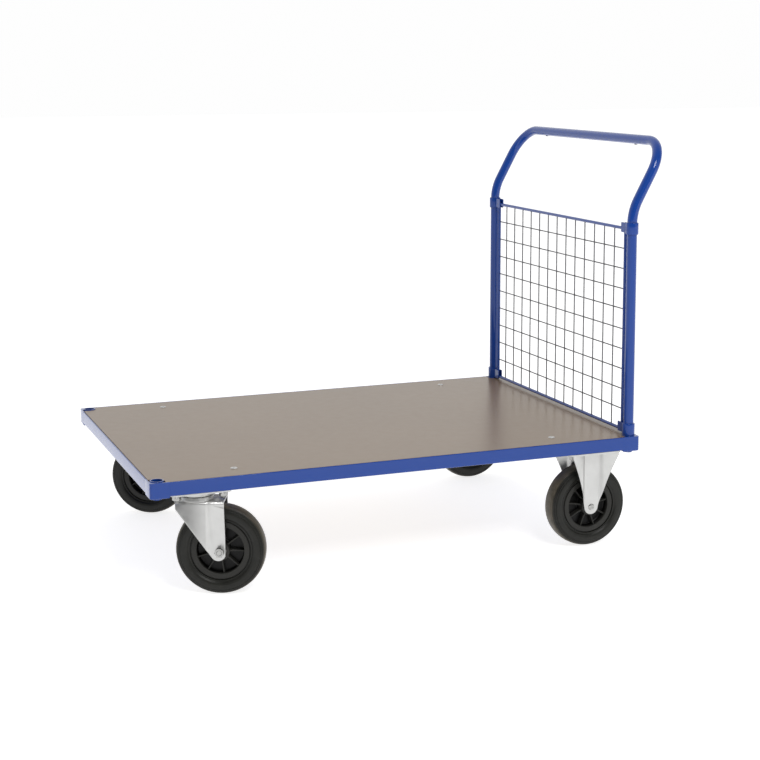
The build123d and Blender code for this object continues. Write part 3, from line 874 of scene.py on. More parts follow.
def threaded_rod(radius: float, low: float, high: float, pitch: float = 1.5,
                 segments: int = 24) -> bmesh.types.BMesh:
    """Build a rod with ring-shaped thread crests.

    Args:
        radius: Radius of the crests.
        low: Its lower end on z.
        high: Its upper end on z.
        pitch: From one crest to the next.
        segments: Steps round the axis.

    Returns:
        The rod's mesh.
    """
    depth = 0.35 * pitch
    profile = [(0.0, low), (radius - depth, low)]
    turns = max(1, int((high - low) / pitch))
    for turn in range(turns):
        start = low + (turn + 0.25) * (high - low) / turns
        profile.append((radius, start + 0.25 * pitch))
        profile.append((radius - depth, start + 0.75 * pitch if turn < turns - 1 else high))
    profile.append((0.0, high))
    return lathe(profile, segments, closed=False)


def joint_place(name: str) -> tuple[Vector, Vector]:
    """Return a joint's place in millimetres and its axis."""
    joint = next(row for row in frame["joints"] if row["name"] == name)
    return Vector(joint["pos_m"]) / MM, Vector(joint["axis"]).normalized()


def dress(material: bpy.types.Material, *nodes: str) -> None:
    """Give CAD nodes that stay in view a finish."""
    for node in nodes:
        data = frame["nodes"][node].data
        data.materials.clear()
        data.materials.append(material)
        log.info("%s keeps its CAD shape in %s", node, material.name)


# ------------------------------------------------------------------ deck frame
@dataclass
class EdgeRails:
    """The four rolled edge rails and the cross members under the board."""

    shop: Workshop
    length: float = 1200.0
    width: float = 800.0
    top: float = 270.0
    height: float = 32.0
    wall: float = 3.0
    flange: float = 40.0
    ledge: float = 15.0
    ledge_top: float = 258.0
    corner: float = 44.0
    nose: float = 1.4
    heel: float = 3.2

    def section(self) -> list[Vector]:
        """Return the rail's outline, x inboard and y up."""
        low = self.top - self.height
        lip = self.wall + self.ledge
        return outline((
            (0.0, low, self.heel), (self.flange, low, 1.0), (self.flange, low + self.wall, 1.0),
            (self.wall, low + self.wall, 1.2), (self.wall, self.ledge_top - self.wall, 0.5),
            (lip, self.ledge_top - self.wall, 1.0), (lip, self.ledge_top, 1.0),
            (self.wall, self.ledge_top, 0.8), (self.wall, self.top, self.nose), (0.0, self.top, self.nose)))

    def rail(self, name: str, origin: tuple[float, float, float], inboard: tuple[float, float, float],
             half: float) -> None:
        """Build one rail.

        Args:
            name: Its CAD node.
            origin: Middle of the outer face, on the floor.
            inboard: Direction towards the deck's middle.
            half: Half its length.
        """
        along = Vector(inboard).cross(UP)
        mesh = join([(prism(self.section(), -half, half), placed(origin, inboard, along))])
        rail = finish_mesh(f"{name}_pressing", mesh, self.shop.finish.paint)
        hand_over(rail, "chassis", "blue_paint", name)

    def build(self) -> None:
        """Build the rails and dress the cross members."""
        side_half = self.length / 2 - self.corner
        end_half = self.width / 2 - self.corner
        self.rail("side_rail_left", (0.0, -self.width / 2, 0.0), (0.0, 1.0, 0.0), side_half)
        self.rail("side_rail_right", (0.0, self.width / 2, 0.0), (0.0, -1.0, 0.0), side_half)
        self.rail("end_rail_front", (-self.length / 2, 0.0, 0.0), (1.0, 0.0, 0.0), end_half)
        self.rail("end_rail_rear", (self.length / 2, 0.0, 0.0), (-1.0, 0.0, 0.0), end_half)
        dress(self.shop.finish.paint, "inner_cross_member_front", "inner_cross_member_rear",
              "outer_cross_member_front", "outer_cross_member_rear")


@dataclass
class CornerSockets:
    """Four corner castings, each with an upright socket; the handle stands in the rear ones."""

    shop: Workshop
    length: float = 1200.0
    width: float = 800.0
    size: float = 44.0
    bottom: float = 234.0
    floor: float = 238.0
    top: float = 270.0
    wall: float = 3.0
    outer_radius: float = 6.0
    foot_radius: float = 3.0
    inset: float = 20.0
    ring_radius: float = 15.5
    ring_top: float = 271.5
    bore_radius: float = 12.5
    stop_radius: float = 9.5
    stop_top: float = 237.0

    def shell(self) -> bmesh.types.BMesh:
        """Return the outer block with its rounded foot."""
        size = self.size
        corners = ((0.0, 0.0, self.outer_radius), (size, 0.0, 0.3), (size, size, 0.3), (0.0, size, 0.3))
        mesh = prism(outline(corners, 8), self.bottom, self.top)
        foot = [edge for edge in mesh.edges
                if all(abs(vert.co.z - self.bottom) < 1e-4 for vert in edge.verts)]
        bmesh.ops.bevel(mesh, geom=foot, offset=self.foot_radius, segments=4, profile=0.5,
                        affect="EDGES")
        return mesh

    def cylinder(self, radius: float, low: float, high: float, rounding: float = 0.0) -> bmesh.types.BMesh:
        """Build an upright cylinder at the socket's place.

        Args:
            radius: Its radius.
            low: Height of its foot.
            high: Height of its top.
            rounding: Radius of the top's edge.

        Returns:
            The cylinder's mesh.
        """
        corners = [Vector((r, z, 0.0)) for r, z in ((0.0, low), (radius, low), (radius, high), (0.0, high))]
        profile = rounded_path(corners, (0.0, 0.0, rounding, 0.0), 4)
        mesh = lathe([(point.x, point.y) for point in profile], 64, closed=False)
        mesh.transform(Matrix.Translation((self.inset, self.inset, 0.0)))
        return mesh

    def build(self) -> None:
        """Build one corner and place a copy on each CAD node."""
        paint = self.shop.finish.paint
        far = 2 * self.size
        wall, middle = self.wall, self.inset
        pocket = ((wall, wall, 2.0), (far, wall, 0.0), (far, far, 0.0), (wall, far, 0.0))
        fill = ((1.0, 1.0, 3.0), (middle, 1.0, 0.0), (middle, middle, 0.0), (1.0, middle, 0.0))
        low, high = self.bottom - 5.0, self.ring_top + 5.0
        block = finish_mesh("corner_pattern", self.shell(), paint)
        for mesh, operation in (
                (prism(outline(pocket), self.floor, high), Carving.CUT),
                (prism(outline(fill), self.floor - 1.0, self.top), Carving.ADD),
                (self.cylinder(self.ring_radius, self.floor - 1.0, self.ring_top, 0.7), Carving.ADD),
                (self.cylinder(self.bore_radius, self.stop_top, high), Carving.CUT),
                (self.cylinder(self.stop_radius, low, high), Carving.CUT)):
            carve(block, finish_mesh("cutter", mesh, paint), operation)
        break_edges(block, 0.5)
        places = (("front_left", -1, -1, 0), ("rear_left", 1, -1, 90), ("rear_right", 1, 1, 180),
                  ("front_right", -1, 1, -90))
        for name, side_x, side_y, angle in places:
            data = block.data.copy()
            turn = Matrix.Rotation(math.radians(angle), 4, "Z")
            corner = Vector((side_x * self.length / 2, side_y * self.width / 2, 0.0))
            data.transform(Matrix.Translation(corner * MM) @ turn)
            piece = bpy.data.objects.new(f"corner_casting_{name}", data)
            bpy.context.scene.collection.objects.link(piece)
            hand_over(piece, "chassis", "blue_paint", f"corner_socket_{name}")
        bpy.data.objects.remove(block)


@dataclass
class DeckBoard:
    """The notched laminate board and its four screws with nuts."""

    shop: Workshop
    half_length: float = 596.0
    half_width: float = 396.0
    bottom: float = 258.0
    top: float = 270.0
    notch_x: float = 563.5
    notch_y: float = 363.5
    notch_radius: float = 16.5
    screw_x: float = 395.0
    screw_y: float = 336.0
    screw_shank: float = 4.0
    screw_length: float = 26.0
    nut_across: float = 13.0
    nut_height: float = 6.5
    nut_drop: float = 21.5

    def build(self) -> None:
        """Build the board and the screws."""
        corners: list[tuple[float, float, float]] = []
        for side_x, side_y in ((1, 1), (-1, 1), (-1, -1), (1, -1)):
            steps = [(self.half_length, self.notch_y, 0.8),
                     (self.notch_x, self.notch_y, self.notch_radius),
                     (self.notch_x, self.half_width, 0.8)]
            if side_x * side_y < 0:
                steps.reverse()
            corners += [(side_x * x, side_y * y, radius) for x, y, radius in steps]
        board = finish_mesh("laminate_board", prism(outline(corners, 10), self.bottom, self.top),
                            self.shop.finish.laminate)
        break_edges(board, 0.5)
        hand_over(board, "chassis", "deck_laminate", "deck_board")

        profile = [(0.0, 0.7), (2.3, 0.7), (2.6, 1.75), (6.2, 1.75), (7.3, 1.3), (7.9, 0.6), (8.0, 0.0),
                   (self.screw_shank, 0.0), (self.screw_shank, -self.screw_length), (0.0, -self.screw_length)]
        screw = join([
            (lathe(profile, 36, closed=False), Matrix.Identity(4)),
            (hexagon(self.nut_across, self.nut_height), Matrix.Translation((0.0, 0.0, -self.nut_drop)))])
        points = [Vector((x, y, self.top)) for x in (-self.screw_x, self.screw_x)
                  for y in (-self.screw_y, self.screw_y)]
        screws = self.shop.copies("pan_head_screws", screw, points, self.shop.finish.zinc)
        hand_over(screws, "chassis", "fastener_zinc", "deck_screws")


# ------------------------------------------------------------------ handle and mesh panel
@dataclass
class PushHandle:
    """The bent tube and the plugs under its bar."""

    shop: Workshop
    leg_x: float = 580.0
    leg_y: float = 380.0
    foot: float = 237.0
    bend_height: float = 813.0
    bar_x: float = 669.0
    bar_height: float = 976.0
    lean_radius: float = 120.0
    corner_radius: float = 80.0
    tube_radius: float = 12.0
    plug_y: float = 238.0

    def build(self) -> None:
        """Run the tube along its path and set the plugs."""
        left = [Vector((x, -self.leg_y, z)) for x, z in (
            (self.leg_x, self.foot), (self.leg_x, self.bend_height), (self.bar_x, self.bar_height))]
        right = [Vector((point.x, -point.y, point.z)) for point in reversed(left)]
        radii = (0.0, self.lean_radius, self.corner_radius, self.corner_radius, self.lean_radius, 0.0)
        path = rounded_path(left + right, radii, 28)
        tube = self.shop.tube.run("bent_tube", point_mesh(path, edges=True),
                                  Radius=self.tube_radius * MM, Sides=48, Material=self.shop.finish.paint)
        hand_over(tube, "chassis", "blue_paint", "push_handle")

        button = lathe([(0.0, -1.5), (2.8, -1.4), (3.8, -0.9), (4.0, 0.0), (3.8, 3.5), (0.0, 3.5)], 28,
                       closed=False)
        underside = self.bar_height - self.tube_radius
        points = [Vector((self.bar_x, side * self.plug_y, underside)) for side in (-1, 1)]
        plugs = self.shop.copies("bar_plugs", button, points, self.shop.finish.plug)
        hand_over(plugs, "chassis", "dark_plastic", "handle_plugs")


@dataclass
class MeshPanel:
    """The wire panel between the handle's legs and the clips that hold it."""

    shop: Workshop
    x: float = 580.0
    half_width: float = 350.0
    bottom: float = 279.0
    top: float = 769.0
    rod_radius: float = 4.0
    wire_radius: float = 1.5
    uprights: int = 13
    crossings: int = 9
    leg_y: float = 380.0
    collar_inner: float = 12.2
    collar_outer: float = 15.2
    collar_height: float = 28.0
    lower_collar: float = 271.5
    upper_collar: float = 758.0
    clip_offset: float = 5.1
    clip_sheet: float = 2.0
    clip_height: float = 24.0
    clip_reach: float = 42.0

    def rods(self, name: str, count: int, start: Vector, step: Vector, reach: Vector, radius: float,
             material: bpy.types.Material) -> bpy.types.Object:
        """Return a row of straight rods.

        Args:
            name: The piece's name.
            count: How many.
            start: Foot of the first.
            step: From one foot to the next.
            reach: From a rod's foot to its head.
            radius: The rod's radius.
            material: Its finish.

        Returns:
            One mesh object.
        """
        sides = 28 if radius > self.wire_radius else 16
        return self.shop.row.run(name, point_mesh([Vector()]), Count=count, Start=start * MM,
                                 Step=step * MM, Reach=reach * MM, Radius=radius * MM, Sides=sides,
                                 Material=material)

    def build(self) -> None:
        """Build rods, wires and clips."""
        wire, paint, half = self.shop.finish.wire, self.shop.finish.paint, self.half_width
        across = Vector((0.0, 2 * half, 0.0))
        low, high = self.bottom - self.rod_radius, self.top + self.rod_radius
        side = self.rods("panel_side_rods", 2, Vector((self.x, -half, low)), across, UP * (high - low),
                         self.rod_radius, paint)
        hand_over(side, "chassis", "blue_paint", "mesh_side_rods")
        for name, z in (("bottom", self.bottom), ("top", self.top)):
            rail = self.rods(f"panel_{name}_rail", 1, Vector((self.x, -half, z)), across, across,
                             self.rod_radius, paint)
            hand_over(rail, "chassis", "blue_paint", f"mesh_{name}_rail")
        pitch = 2 * half / (self.uprights + 1)
        uprights = self.rods("panel_uprights", self.uprights,
                             Vector((self.x - self.wire_radius, pitch - half, self.bottom)),
                             Vector((0.0, pitch, 0.0)), UP * (self.top - self.bottom), self.wire_radius,
                             wire)
        hand_over(uprights, "chassis", "galvanised_wire", "mesh_upright_wires")
        pitch = (self.top - self.bottom) / (self.crossings + 1)
        crossings = self.rods("panel_crossings", self.crossings,
                              Vector((self.x + self.wire_radius, -half, self.bottom + pitch)),
                              UP * pitch, across, self.wire_radius, wire)
        hand_over(crossings, "chassis", "galvanised_wire", "mesh_cross_wires")
        self.clips("lower", self.lower_collar)
        self.clips("upper", self.upper_collar)

    def clips(self, level: str, bottom: float) -> None:
        """Build both collars of one level with the sheets that grip the panel.

        Args:
            level: Which level, as in the CAD node's name.
            bottom: Height of the collars' lower faces.
        """
        inner, outer, tall = self.collar_inner, self.collar_outer, self.collar_height
        ring = outline(((inner, 0.0, 0.3), (outer, 0.0, 0.8), (outer, tall, 0.8), (inner, tall, 0.3)), 3)
        reach, high = self.clip_reach / 2, self.clip_height
        sheet = outline(((-reach, 0.0, 3.0), (reach, 0.0, 0.4), (reach, high, 0.4), (-reach, high, 3.0)))
        parts = []
        for side in (-1, 1):
            collar = lathe([(point.x, point.y) for point in ring], 56)
            parts.append((collar, Matrix.Translation((self.x, side * self.leg_y, bottom))))
            for face in (-1, 1):
                origin = (self.x + face * self.clip_offset, side * (self.leg_y - reach),
                          bottom + (tall - high) / 2)
                turn = placed(origin, (0.0, float(side), 0.0), (float(side), 0.0, 0.0))
                parts.append((prism(sheet, -self.clip_sheet / 2, self.clip_sheet / 2), turn))
        piece = finish_mesh(f"panel_clips_{level}", join(parts), self.shop.finish.paint)
        break_edges(piece, 0.3)
        hand_over(piece, "chassis", "blue_paint", f"{level}_mesh_brackets")


# ------------------------------------------------------------------ casters
@dataclass
class CasterBolts:
    """The four plate bolts of one caster, with washers and nuts hanging below."""

    shop: Workshop
    mounting: Mounting
    side: Side
    pitch_x: float = 105.0
    pitch_y: float = 75.0
    seat: float = 241.0
    plate_bottom: float = 234.0
    across: float = 17.0
    chamfer: float = 0.9
    head: float = 6.4
    nut: float = 9.5
    shank: float = 5.0
    washer_radius: float = 10.0
    washer: float = 2.0
    washer_edge: float = 0.4
    stub: float = 16.0
    turns: tuple[float, ...] = (0.35, 0.9, 0.12, 0.6)

    def build(self) -> None:
        """Build the bolts round the caster's centre."""
        node = f"{self.mounting.value}_caster_bolts_{self.side.value}"
        low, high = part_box(node)
        centre = (low + high) / 2 / MM
        rim, thick, edge = self.washer_radius, self.washer, self.washer_edge
        washer = lathe([(self.shank, 0.0), (rim - edge, 0.0), (rim, edge), (rim, thick - edge),
                        (rim - edge, thick), (self.shank, thick)], 40)
        under = self.plate_bottom - thick
        unit = join([(part, Matrix.Translation((0.0, 0.0, z))) for part, z in (
            (hexagon(self.across, self.head, self.chamfer), self.seat),
            (threaded_rod(self.shank, self.plate_bottom - self.stub, self.seat), 0.0),
            (washer, under),
            (hexagon(self.across, self.nut, self.chamfer), under - self.nut))])
        points = [Vector((centre.x + sx * self.pitch_x / 2, centre.y + sy * self.pitch_y / 2, 0.0))
                  for sx in (-1, 1) for sy in (-1, 1)]
        bolts = self.shop.copies(f"plate_bolts_{self.mounting.value}_{self.side.value}", unit, points,
                                 self.shop.finish.fastener, self.turns)
        hand_over(bolts, "chassis", "fastener_zinc", node)


@dataclass
class SwivelHead:
    """The top plate with the pressed dish of the ball race."""

    shop: Workshop
    side: Side
    plate_length: float = 135.0
    plate_width: float = 110.0
    plate_corner: float = 8.0
    low: float = 234.0
    high: float = 238.0

    def build(self) -> None:
        """Build plate and dish, and dress balls and kingpin."""
        side = self.side.value
        centre, _ = joint_place(f"swivel_turn_{side}")
        place = Matrix.Translation((centre.x, centre.y, 0.0))
        flat = rectangle(self.plate_length / 2, self.plate_width / 2, self.plate_corner, 8)
        base = finish_mesh(f"top_plate_{side}", join([(prism(flat, self.low, self.high), place)]),
                           self.shop.finish.zinc)
        break_edges(base, 0.6)
        dish = [(28.0, 0.5), (51.5, 0.5), (51.4, -0.6), (50.2, -1.6), (49.4, -3.2), (48.2, -5.1),
                (46.6, -7.0), (44.6, -8.2), (43.0, -8.5), (39.3, -8.5), (38.6, -8.0), (38.5, -6.7),
                (28.0, -6.7)]
        bowl = lathe([(radius, self.low + z) for radius, z in dish], 96)
        carve(base, finish_mesh("bowl", join([(bowl, place)]), self.shop.finish.zinc, DISHED), Carving.ADD)
        hand_over(base, "chassis", "zinc_plate", f"swivel_plate_{side}")
        dress(self.shop.finish.bearing, f"swivel_balls_{side}", f"swivel_wheel_bearing_{side}")
        dress(self.shop.finish.fastener, f"kingpin_{side}", f"swivel_axle_spacer_{side}")


@dataclass
class SwivelFork:
    """The pressed swivel fork with its crown."""

    shop: Workshop
    side: Side
    half_gap: float = 31.0
    sheet: float = 3.5
    front: float = -40.0
    rear: float = 66.0
    top: float = 213.95
    shoulder_drop: float = 16.0
    shoulder_radius: float = 5.0
    web: float = 4.0
    crease: float = 30.5
    crease_width: float = 5.0
    joggle: float = 1.8
    flare: float = 0.085
    tip_x: float = 52.0
    tip_z: float = 97.0
    tip_radius: float = 17.0
    bend: float = 7.0
    axle_radius: float = 6.0

    def side_outline(self) -> list[Vector]:
        """Return the leg's outline, x along the trail and y up, with the tip at the axle."""
        top, tip, steps = self.top + 5.0, self.tip_radius, 20
        shoulder = self.top - self.shoulder_drop
        heel = Vector((self.tip_x, self.tip_z, 0.0))
        ahead, behind = (Vector((x, shoulder, 0.0)) for x in (self.front, self.rear))
        reach, away = ahead - heel, behind - heel
        start = math.atan2(reach.y, reach.x) + math.acos(tip / reach.length)
        end = math.atan2(away.y, away.x) - math.acos(min(1.0, tip / away.length)) + 2 * math.pi
        points = [Vector((self.rear, top, 0.0)), Vector((self.front, top, 0.0)), ahead]
        for step in range(steps + 1):
            angle = start + (end - start) * step / steps
            points.append(heel + Vector((math.cos(angle), math.sin(angle), 0.0)) * tip)
        points.append(behind)
        radii = [0.0, 0.0, self.shoulder_radius] + [0.0] * (steps + 1) + [self.shoulder_radius]
        return rounded_path(points, radii, 5, closed=True)

    def bulge(self, x: float) -> float:
        """Return how far the sheet stands out at x, ahead of the flat rear strip."""
        return fold_rise(self.crease - x, self.joggle, self.crease_width, self.flare)

    def pressing(self) -> bpy.types.Object:
        """Return the fork's sheet, bent along the crease, with x along the trail."""
        zinc = self.shop.finish.zinc
        outer, inner = self.half_gap + self.sheet, self.half_gap
        low = self.tip_z - self.tip_radius - 4.0
        under, inner_bend = self.top - self.web, self.bend - self.sheet
        arch = outline((
            (outer, low, 0.0), (outer, self.top, self.bend),
            (-outer, self.top, self.bend), (-outer, low, 0.0),
            (-inner, low, 0.0), (-inner, under, inner_bend),
            (inner, under, inner_bend), (inner, low, 0.0)), 6)
        saddle = placed((0.0, 0.0, 0.0), (0.0, 1.0, 0.0), (1.0, 0.0, 0.0))
        body = join([(prism(arch, self.front - 2.0, self.rear + 2.0), saddle)])
        flank = placed((0.0, 0.0, 0.0), (1.0, 0.0, 0.0), (0.0, -1.0, 0.0))
        trim = join([(prism(self.side_outline(), -60.0, 60.0), flank)])
        fork = finish_mesh(f"pressed_fork_{self.side.value}", body, zinc)
        carve(fork, finish_mesh("trim", trim, zinc), Carving.KEEP)
        mesh = bmesh.new()
        mesh.from_mesh(fork.data)
        fold_lines(mesh, [(self.crease - cut * self.crease_width) * MM for cut in FOLD_CUTS])
        for vert in mesh.verts:
            reach = abs(vert.co.y) / MM
            vert.co.y *= 1.0 + self.bulge(vert.co.x / MM) / outer * min(1.0, reach / inner)
        mesh.to_mesh(fork.data)
        mesh.free()
        break_edges(fork, 0.7)
        return fork

    def build(self) -> None:
        """Press the fork and set it under its head."""
        side = self.side.value
        pivot, _ = joint_place(f"swivel_turn_{side}")
        wheel, _ = joint_place(f"swivel_wheel_spin_{side}")
        trail = Vector((wheel.x - pivot.x, wheel.y - pivot.y, 0.0)).normalized()
        fork = self.pressing()
        crown = [(9.0, -0.5), (40.4, -0.5), (40.4, 0.8), (40.0, 1.6), (40.0, 7.7), (39.3, 8.4),
                 (38.2, 8.4), (37.5, 7.8), (37.3, 6.0), (9.0, 6.0)]
        cap = lathe([(radius, self.top + z) for radius, z in crown], 96)
        carve(fork, finish_mesh("crown", cap, self.shop.finish.zinc, DISHED), Carving.ADD)
        across = UP.cross(trail)
        place = Matrix((trail, across, UP)).transposed().to_4x4()
        place.translation = Vector((pivot.x, pivot.y, 0.0)) * MM
        fork.data.transform(place)
        hand_over(fork, f"swivel_{side}", "zinc_plate", f"swivel_fork_{side}")
        self.axle(wheel, across)

    def axle(self, centre: Vector, across: Vector) -> None:
        """Build the hex bolt and nut through the fork's tips.

        Args:
            centre: Middle of the wheel.
            across: Direction of the axle.
        """
        side, shank, end = self.side.value, self.axle_radius, self.half_gap + self.sheet
        collar = [(0.0, -end - 0.9), (10.4, -end - 0.9), (10.8, -end), (0.0, -end)]
        rod = [(0.0, -end - 1.0), (shank, -end - 1.0), (shank, end + 0.5), (0.0, end + 0.5)]
        place = placed(centre, UP, across)
        bolt = join([
            (hexagon(19.0, 7.0, 1.2, 6.4), place @ Matrix.Translation((0.0, 0.0, -end - 7.5))),
            (lathe(collar, 40, closed=False), place),
            (threaded_rod(shank, end, end + 11.0, 1.75), place),
            (lathe(rod, 32, closed=False), place),
            (hexagon(19.0, 9.0, 1.0), place @ Matrix.Translation((0.0, 0.0, end)))])
        piece = finish_mesh(f"axle_bolt_{side}", bolt, self.shop.finish.fastener)
        hand_over(piece, f"swivel_{side}", "fastener_zinc", f"swivel_axle_{side}")


@dataclass
class FixedBracket:
    """The fixed caster's bracket: top plate and two V-shaped legs whose flanges flare outwards."""

    shop: Workshop
    side: Side
    plate_length: float = 135.0
    plate_width: float = 115.0
    plate_corner: float = 8.0
    low: float = 234.0
    high: float = 238.0
    half_gap: float = 31.0
    sheet: float = 3.5
    half_width: float = 61.0
    channel_half: float = 19.0
    flare: float = 23.0
    tip_radius: float = 18.0
    tip_z: float = 100.0
    waist: float = 4.0
    fold: float = 6.0
    fold_width: float = 9.0

    def leg_outline(self) -> list[Vector]:
        """Return one leg's outline, x along the deck and y up, with slightly hollow sides."""
        points: list[Vector] = []
        tip, turn_steps, side_steps = self.tip_radius, 16, 12
        for step in range(turn_steps + 1):
            angle = math.pi + math.pi * step / turn_steps
            points.append(Vector((tip * math.cos(angle), self.tip_z + tip * math.sin(angle), 0.0)))
        rise = self.low - 5.0 - self.tip_z
        right = []
        for step in range(1, side_steps + 1):
            share = step / side_steps
            straight = tip + (self.half_width - tip) * share
            hollow = self.waist * math.sin(math.pi * share)
            right.append(Vector((straight - hollow, self.tip_z + rise * share, 0.0)))
        right.append(Vector((self.half_width, self.low + 1.0, 0.0)))
        left = [Vector((-point.x, point.y, 0.0)) for point in reversed(right)]
        return points + right + left

    def bow(self, x: float) -> float:
        """Return how far the flange stands out at x: a short steep fold, then a gentler slope."""
        slope = (self.flare - self.fold) / (self.half_width - self.channel_half)
        return fold_rise(abs(x) - self.channel_half, self.fold, self.fold_width, slope)

    def build(self) -> None:
        """Build the bracket and its axle."""
        side = self.side.value
        centre, across = joint_place(f"fixed_wheel_spin_{side}")
        flat = rectangle(self.plate_length / 2, self.plate_width / 2, self.plate_corner, 8)
        parts = [(prism(flat, self.low, self.high), Matrix.Identity(4))]
        for face in (-1.0, 1.0):
            leg = prism(self.leg_outline(), self.half_gap, self.half_gap + self.sheet)
            fold_lines(leg, [flange * (self.channel_half + cut * self.fold_width)
                             for flange in (-1.0, 1.0) for cut in FOLD_CUTS])
            for vert in leg.verts:
                vert.co.z += self.bow(vert.co.x)
            parts.append((leg, placed((0.0, 0.0, 0.0), (-face, 0.0, 0.0), (0.0, face, 0.0))))
        place = Matrix.Translation((centre.x, centre.y, 0.0))
        mesh = join([(part, place @ turn) for part, turn in parts])
        piece = finish_mesh(f"pressed_bracket_{side}", mesh, self.shop.finish.zinc)
        break_edges(piece, 0.6)
        hand_over(piece, "chassis", "zinc_plate", f"fixed_bracket_{side}")
        self.axle(centre, across)
        dress(self.shop.finish.bearing, f"fixed_wheel_bearing_{side}")
        dress(self.shop.finish.fastener, f"fixed_axle_spacer_{side}")

    def axle(self, centre: Vector, across: Vector) -> None:
        """Build the riveted axle with a button on each leg.

        Args:
            centre: Middle of the wheel.
            across: Direction of the axle.
        """
        side, end = self.side.value, self.half_gap + self.sheet
        button = [(6.0, 0.0), (8.0, 0.0), (7.6, 0.9), (6.4, 1.6), (3.0, 1.8), (2.4, 1.2), (0.0, 1.2)]
        profile = [(radius, -end - z) for radius, z in reversed(button)]
        profile += [(radius, end + z) for radius, z in button]
        mesh = join([(lathe(profile, 40, closed=False), placed(centre, UP, across))])
        piece = finish_mesh(f"riveted_axle_{side}", mesh, self.shop.finish.fastener)
        hand_over(piece, "chassis", "fastener_zinc", f"fixed_axle_{side}")


@dataclass
class Wheel:
    """A black plastic rim with ribs and a solid rubber tyre."""

    shop: Workshop
    mounting: Mounting
    side: Side
    radius: float = 100.0
    seat: float = 64.5
    bore: float = 14.4
    hub: float = 21.4
    hub_half: float = 30.0
    barrel: float = 52.5
    rim_half: float = 20.0
    web_half: float = 2.5
    ribs: int = 9
    rib_half_width: float = 15.5
    # Along the axle: where the rim's painted recess shade ends, and over what width it fades.
    recess_shade_edge: float = 11.0
    recess_shade_fade: float = 5.0
    wear_start: float = 95.0
    wear_width: float = 3.0

    @property
    def rib_turn(self) -> float:
        """The angle at which the first rib stands, in degrees."""
        return 12.0 if (self.mounting, self.side) == (Mounting.SWIVEL, Side.LEFT) else 0.0

    def rim_mesh(self) -> bmesh.types.BMesh:
        """Return hub, web, barrel and ribs."""
        half = [(self.bore, self.hub_half, 0.8), (self.hub, self.hub_half, 1.4),
                (self.hub, self.web_half, 3.0), (self.barrel, self.web_half, 4.0),
                (self.barrel, self.rim_half, 1.6), (self.seat, self.rim_half, 0.6)]
        parts = [(mirrored_lathe(half, 120), Matrix.Identity(4))]
        start, end, wide = self.hub - 2.0, self.barrel + 2.0, self.rib_half_width
        stations = ((start, 2.1, wide + 5.0), (start + 8.0, 1.9, wide),
                    (end - 8.0, 1.5, wide), (end, 1.9, wide))
        for index in range(self.ribs):
            sections = [[Vector((radius, point.x, point.y)) for point in rectangle(thick, width, 0.9, 3)]
                        for radius, thick, width in stations]
            turn = 2 * math.pi * index / self.ribs + math.radians(self.rib_turn)
            parts.append((strip(sections), Matrix.Rotation(turn, 4, "Z")))
        return join(parts)

    def tyre_mesh(self) -> bmesh.types.BMesh:
        """Return the tyre: a groove beside the rim, rounded flanks and ridges beside the crown."""
        half = [(self.seat, 16.8, 0.4), (self.seat + 2.4, 16.8, 0.4), (self.seat + 2.9, 20.4, 0.8),
                (70.6, 20.9, 3.0), (73.6, 23.9, 3.0), (78.4, 25.0, 5.0), (84.6, 24.9, 8.0), (88.0, 24.2, 0.4),
                (88.4, 22.9, 0.3), (90.0, 22.7, 0.3), (90.4, 23.5, 0.4), (92.0, 22.7, 0.4), (92.4, 21.2, 0.3),
                (93.9, 20.8, 0.3), (94.3, 21.5, 0.4), (95.6, 20.0, 0.4), (95.7, 18.4, 0.3), (96.9, 17.4, 0.3),
                (97.3, 17.8, 0.3), (98.5, 14.8, 0.5), (98.2, 13.6, 0.3), (99.2, 11.6, 0.4), (99.5, 8.8, 1.0),
                (self.radius, 3.0, 3.0)]
        return mirrored_lathe(half, 160)

    def build(self) -> None:
        """Build rim and tyre on the wheel's joint."""
        kind, side = self.mounting.value, self.side.value
        centre, axle = joint_place(f"{kind}_wheel_spin_{side}")
        place = placed(centre, UP, axle)
        body = f"{kind}_wheel_{side}"

        def shade_clearance(spot: Vector) -> float:
            """Return how far a spot of the rim lies clear of the painted shade in its recess: its ends are,
            its middle isn't.
            """
            return (abs((spot - centre).dot(axle)) - self.recess_shade_edge) / self.recess_shade_fade

        def wear(spot: Vector) -> float:
            """Return how much the tyre is worn at a spot: only its tread is."""
            spoke = spot - centre
            return ((spoke - axle * spoke.dot(axle)).length - self.wear_start) / self.wear_width

        rim = finish_mesh(f"ribbed_rim_{kind}_{side}", join([(self.rim_mesh(), place)]),
                          self.shop.finish.rim)
        # Painted shade: marks the rim's faces clear of its recess, so the recess stays darker.
        mark(rim, "handled", shade_clearance)
        hand_over(rim, body, "wheel_plastic", f"{kind}_rim_{side}")
        tyre = finish_mesh(f"rubber_tyre_{kind}_{side}", join([(self.tyre_mesh(), place)]),
                           self.shop.finish.rubber)
        mark(tyre, "tread_wear", wear)
        hand_over(tyre, body, "tyre_rubber", f"{kind}_tyre_{side}")


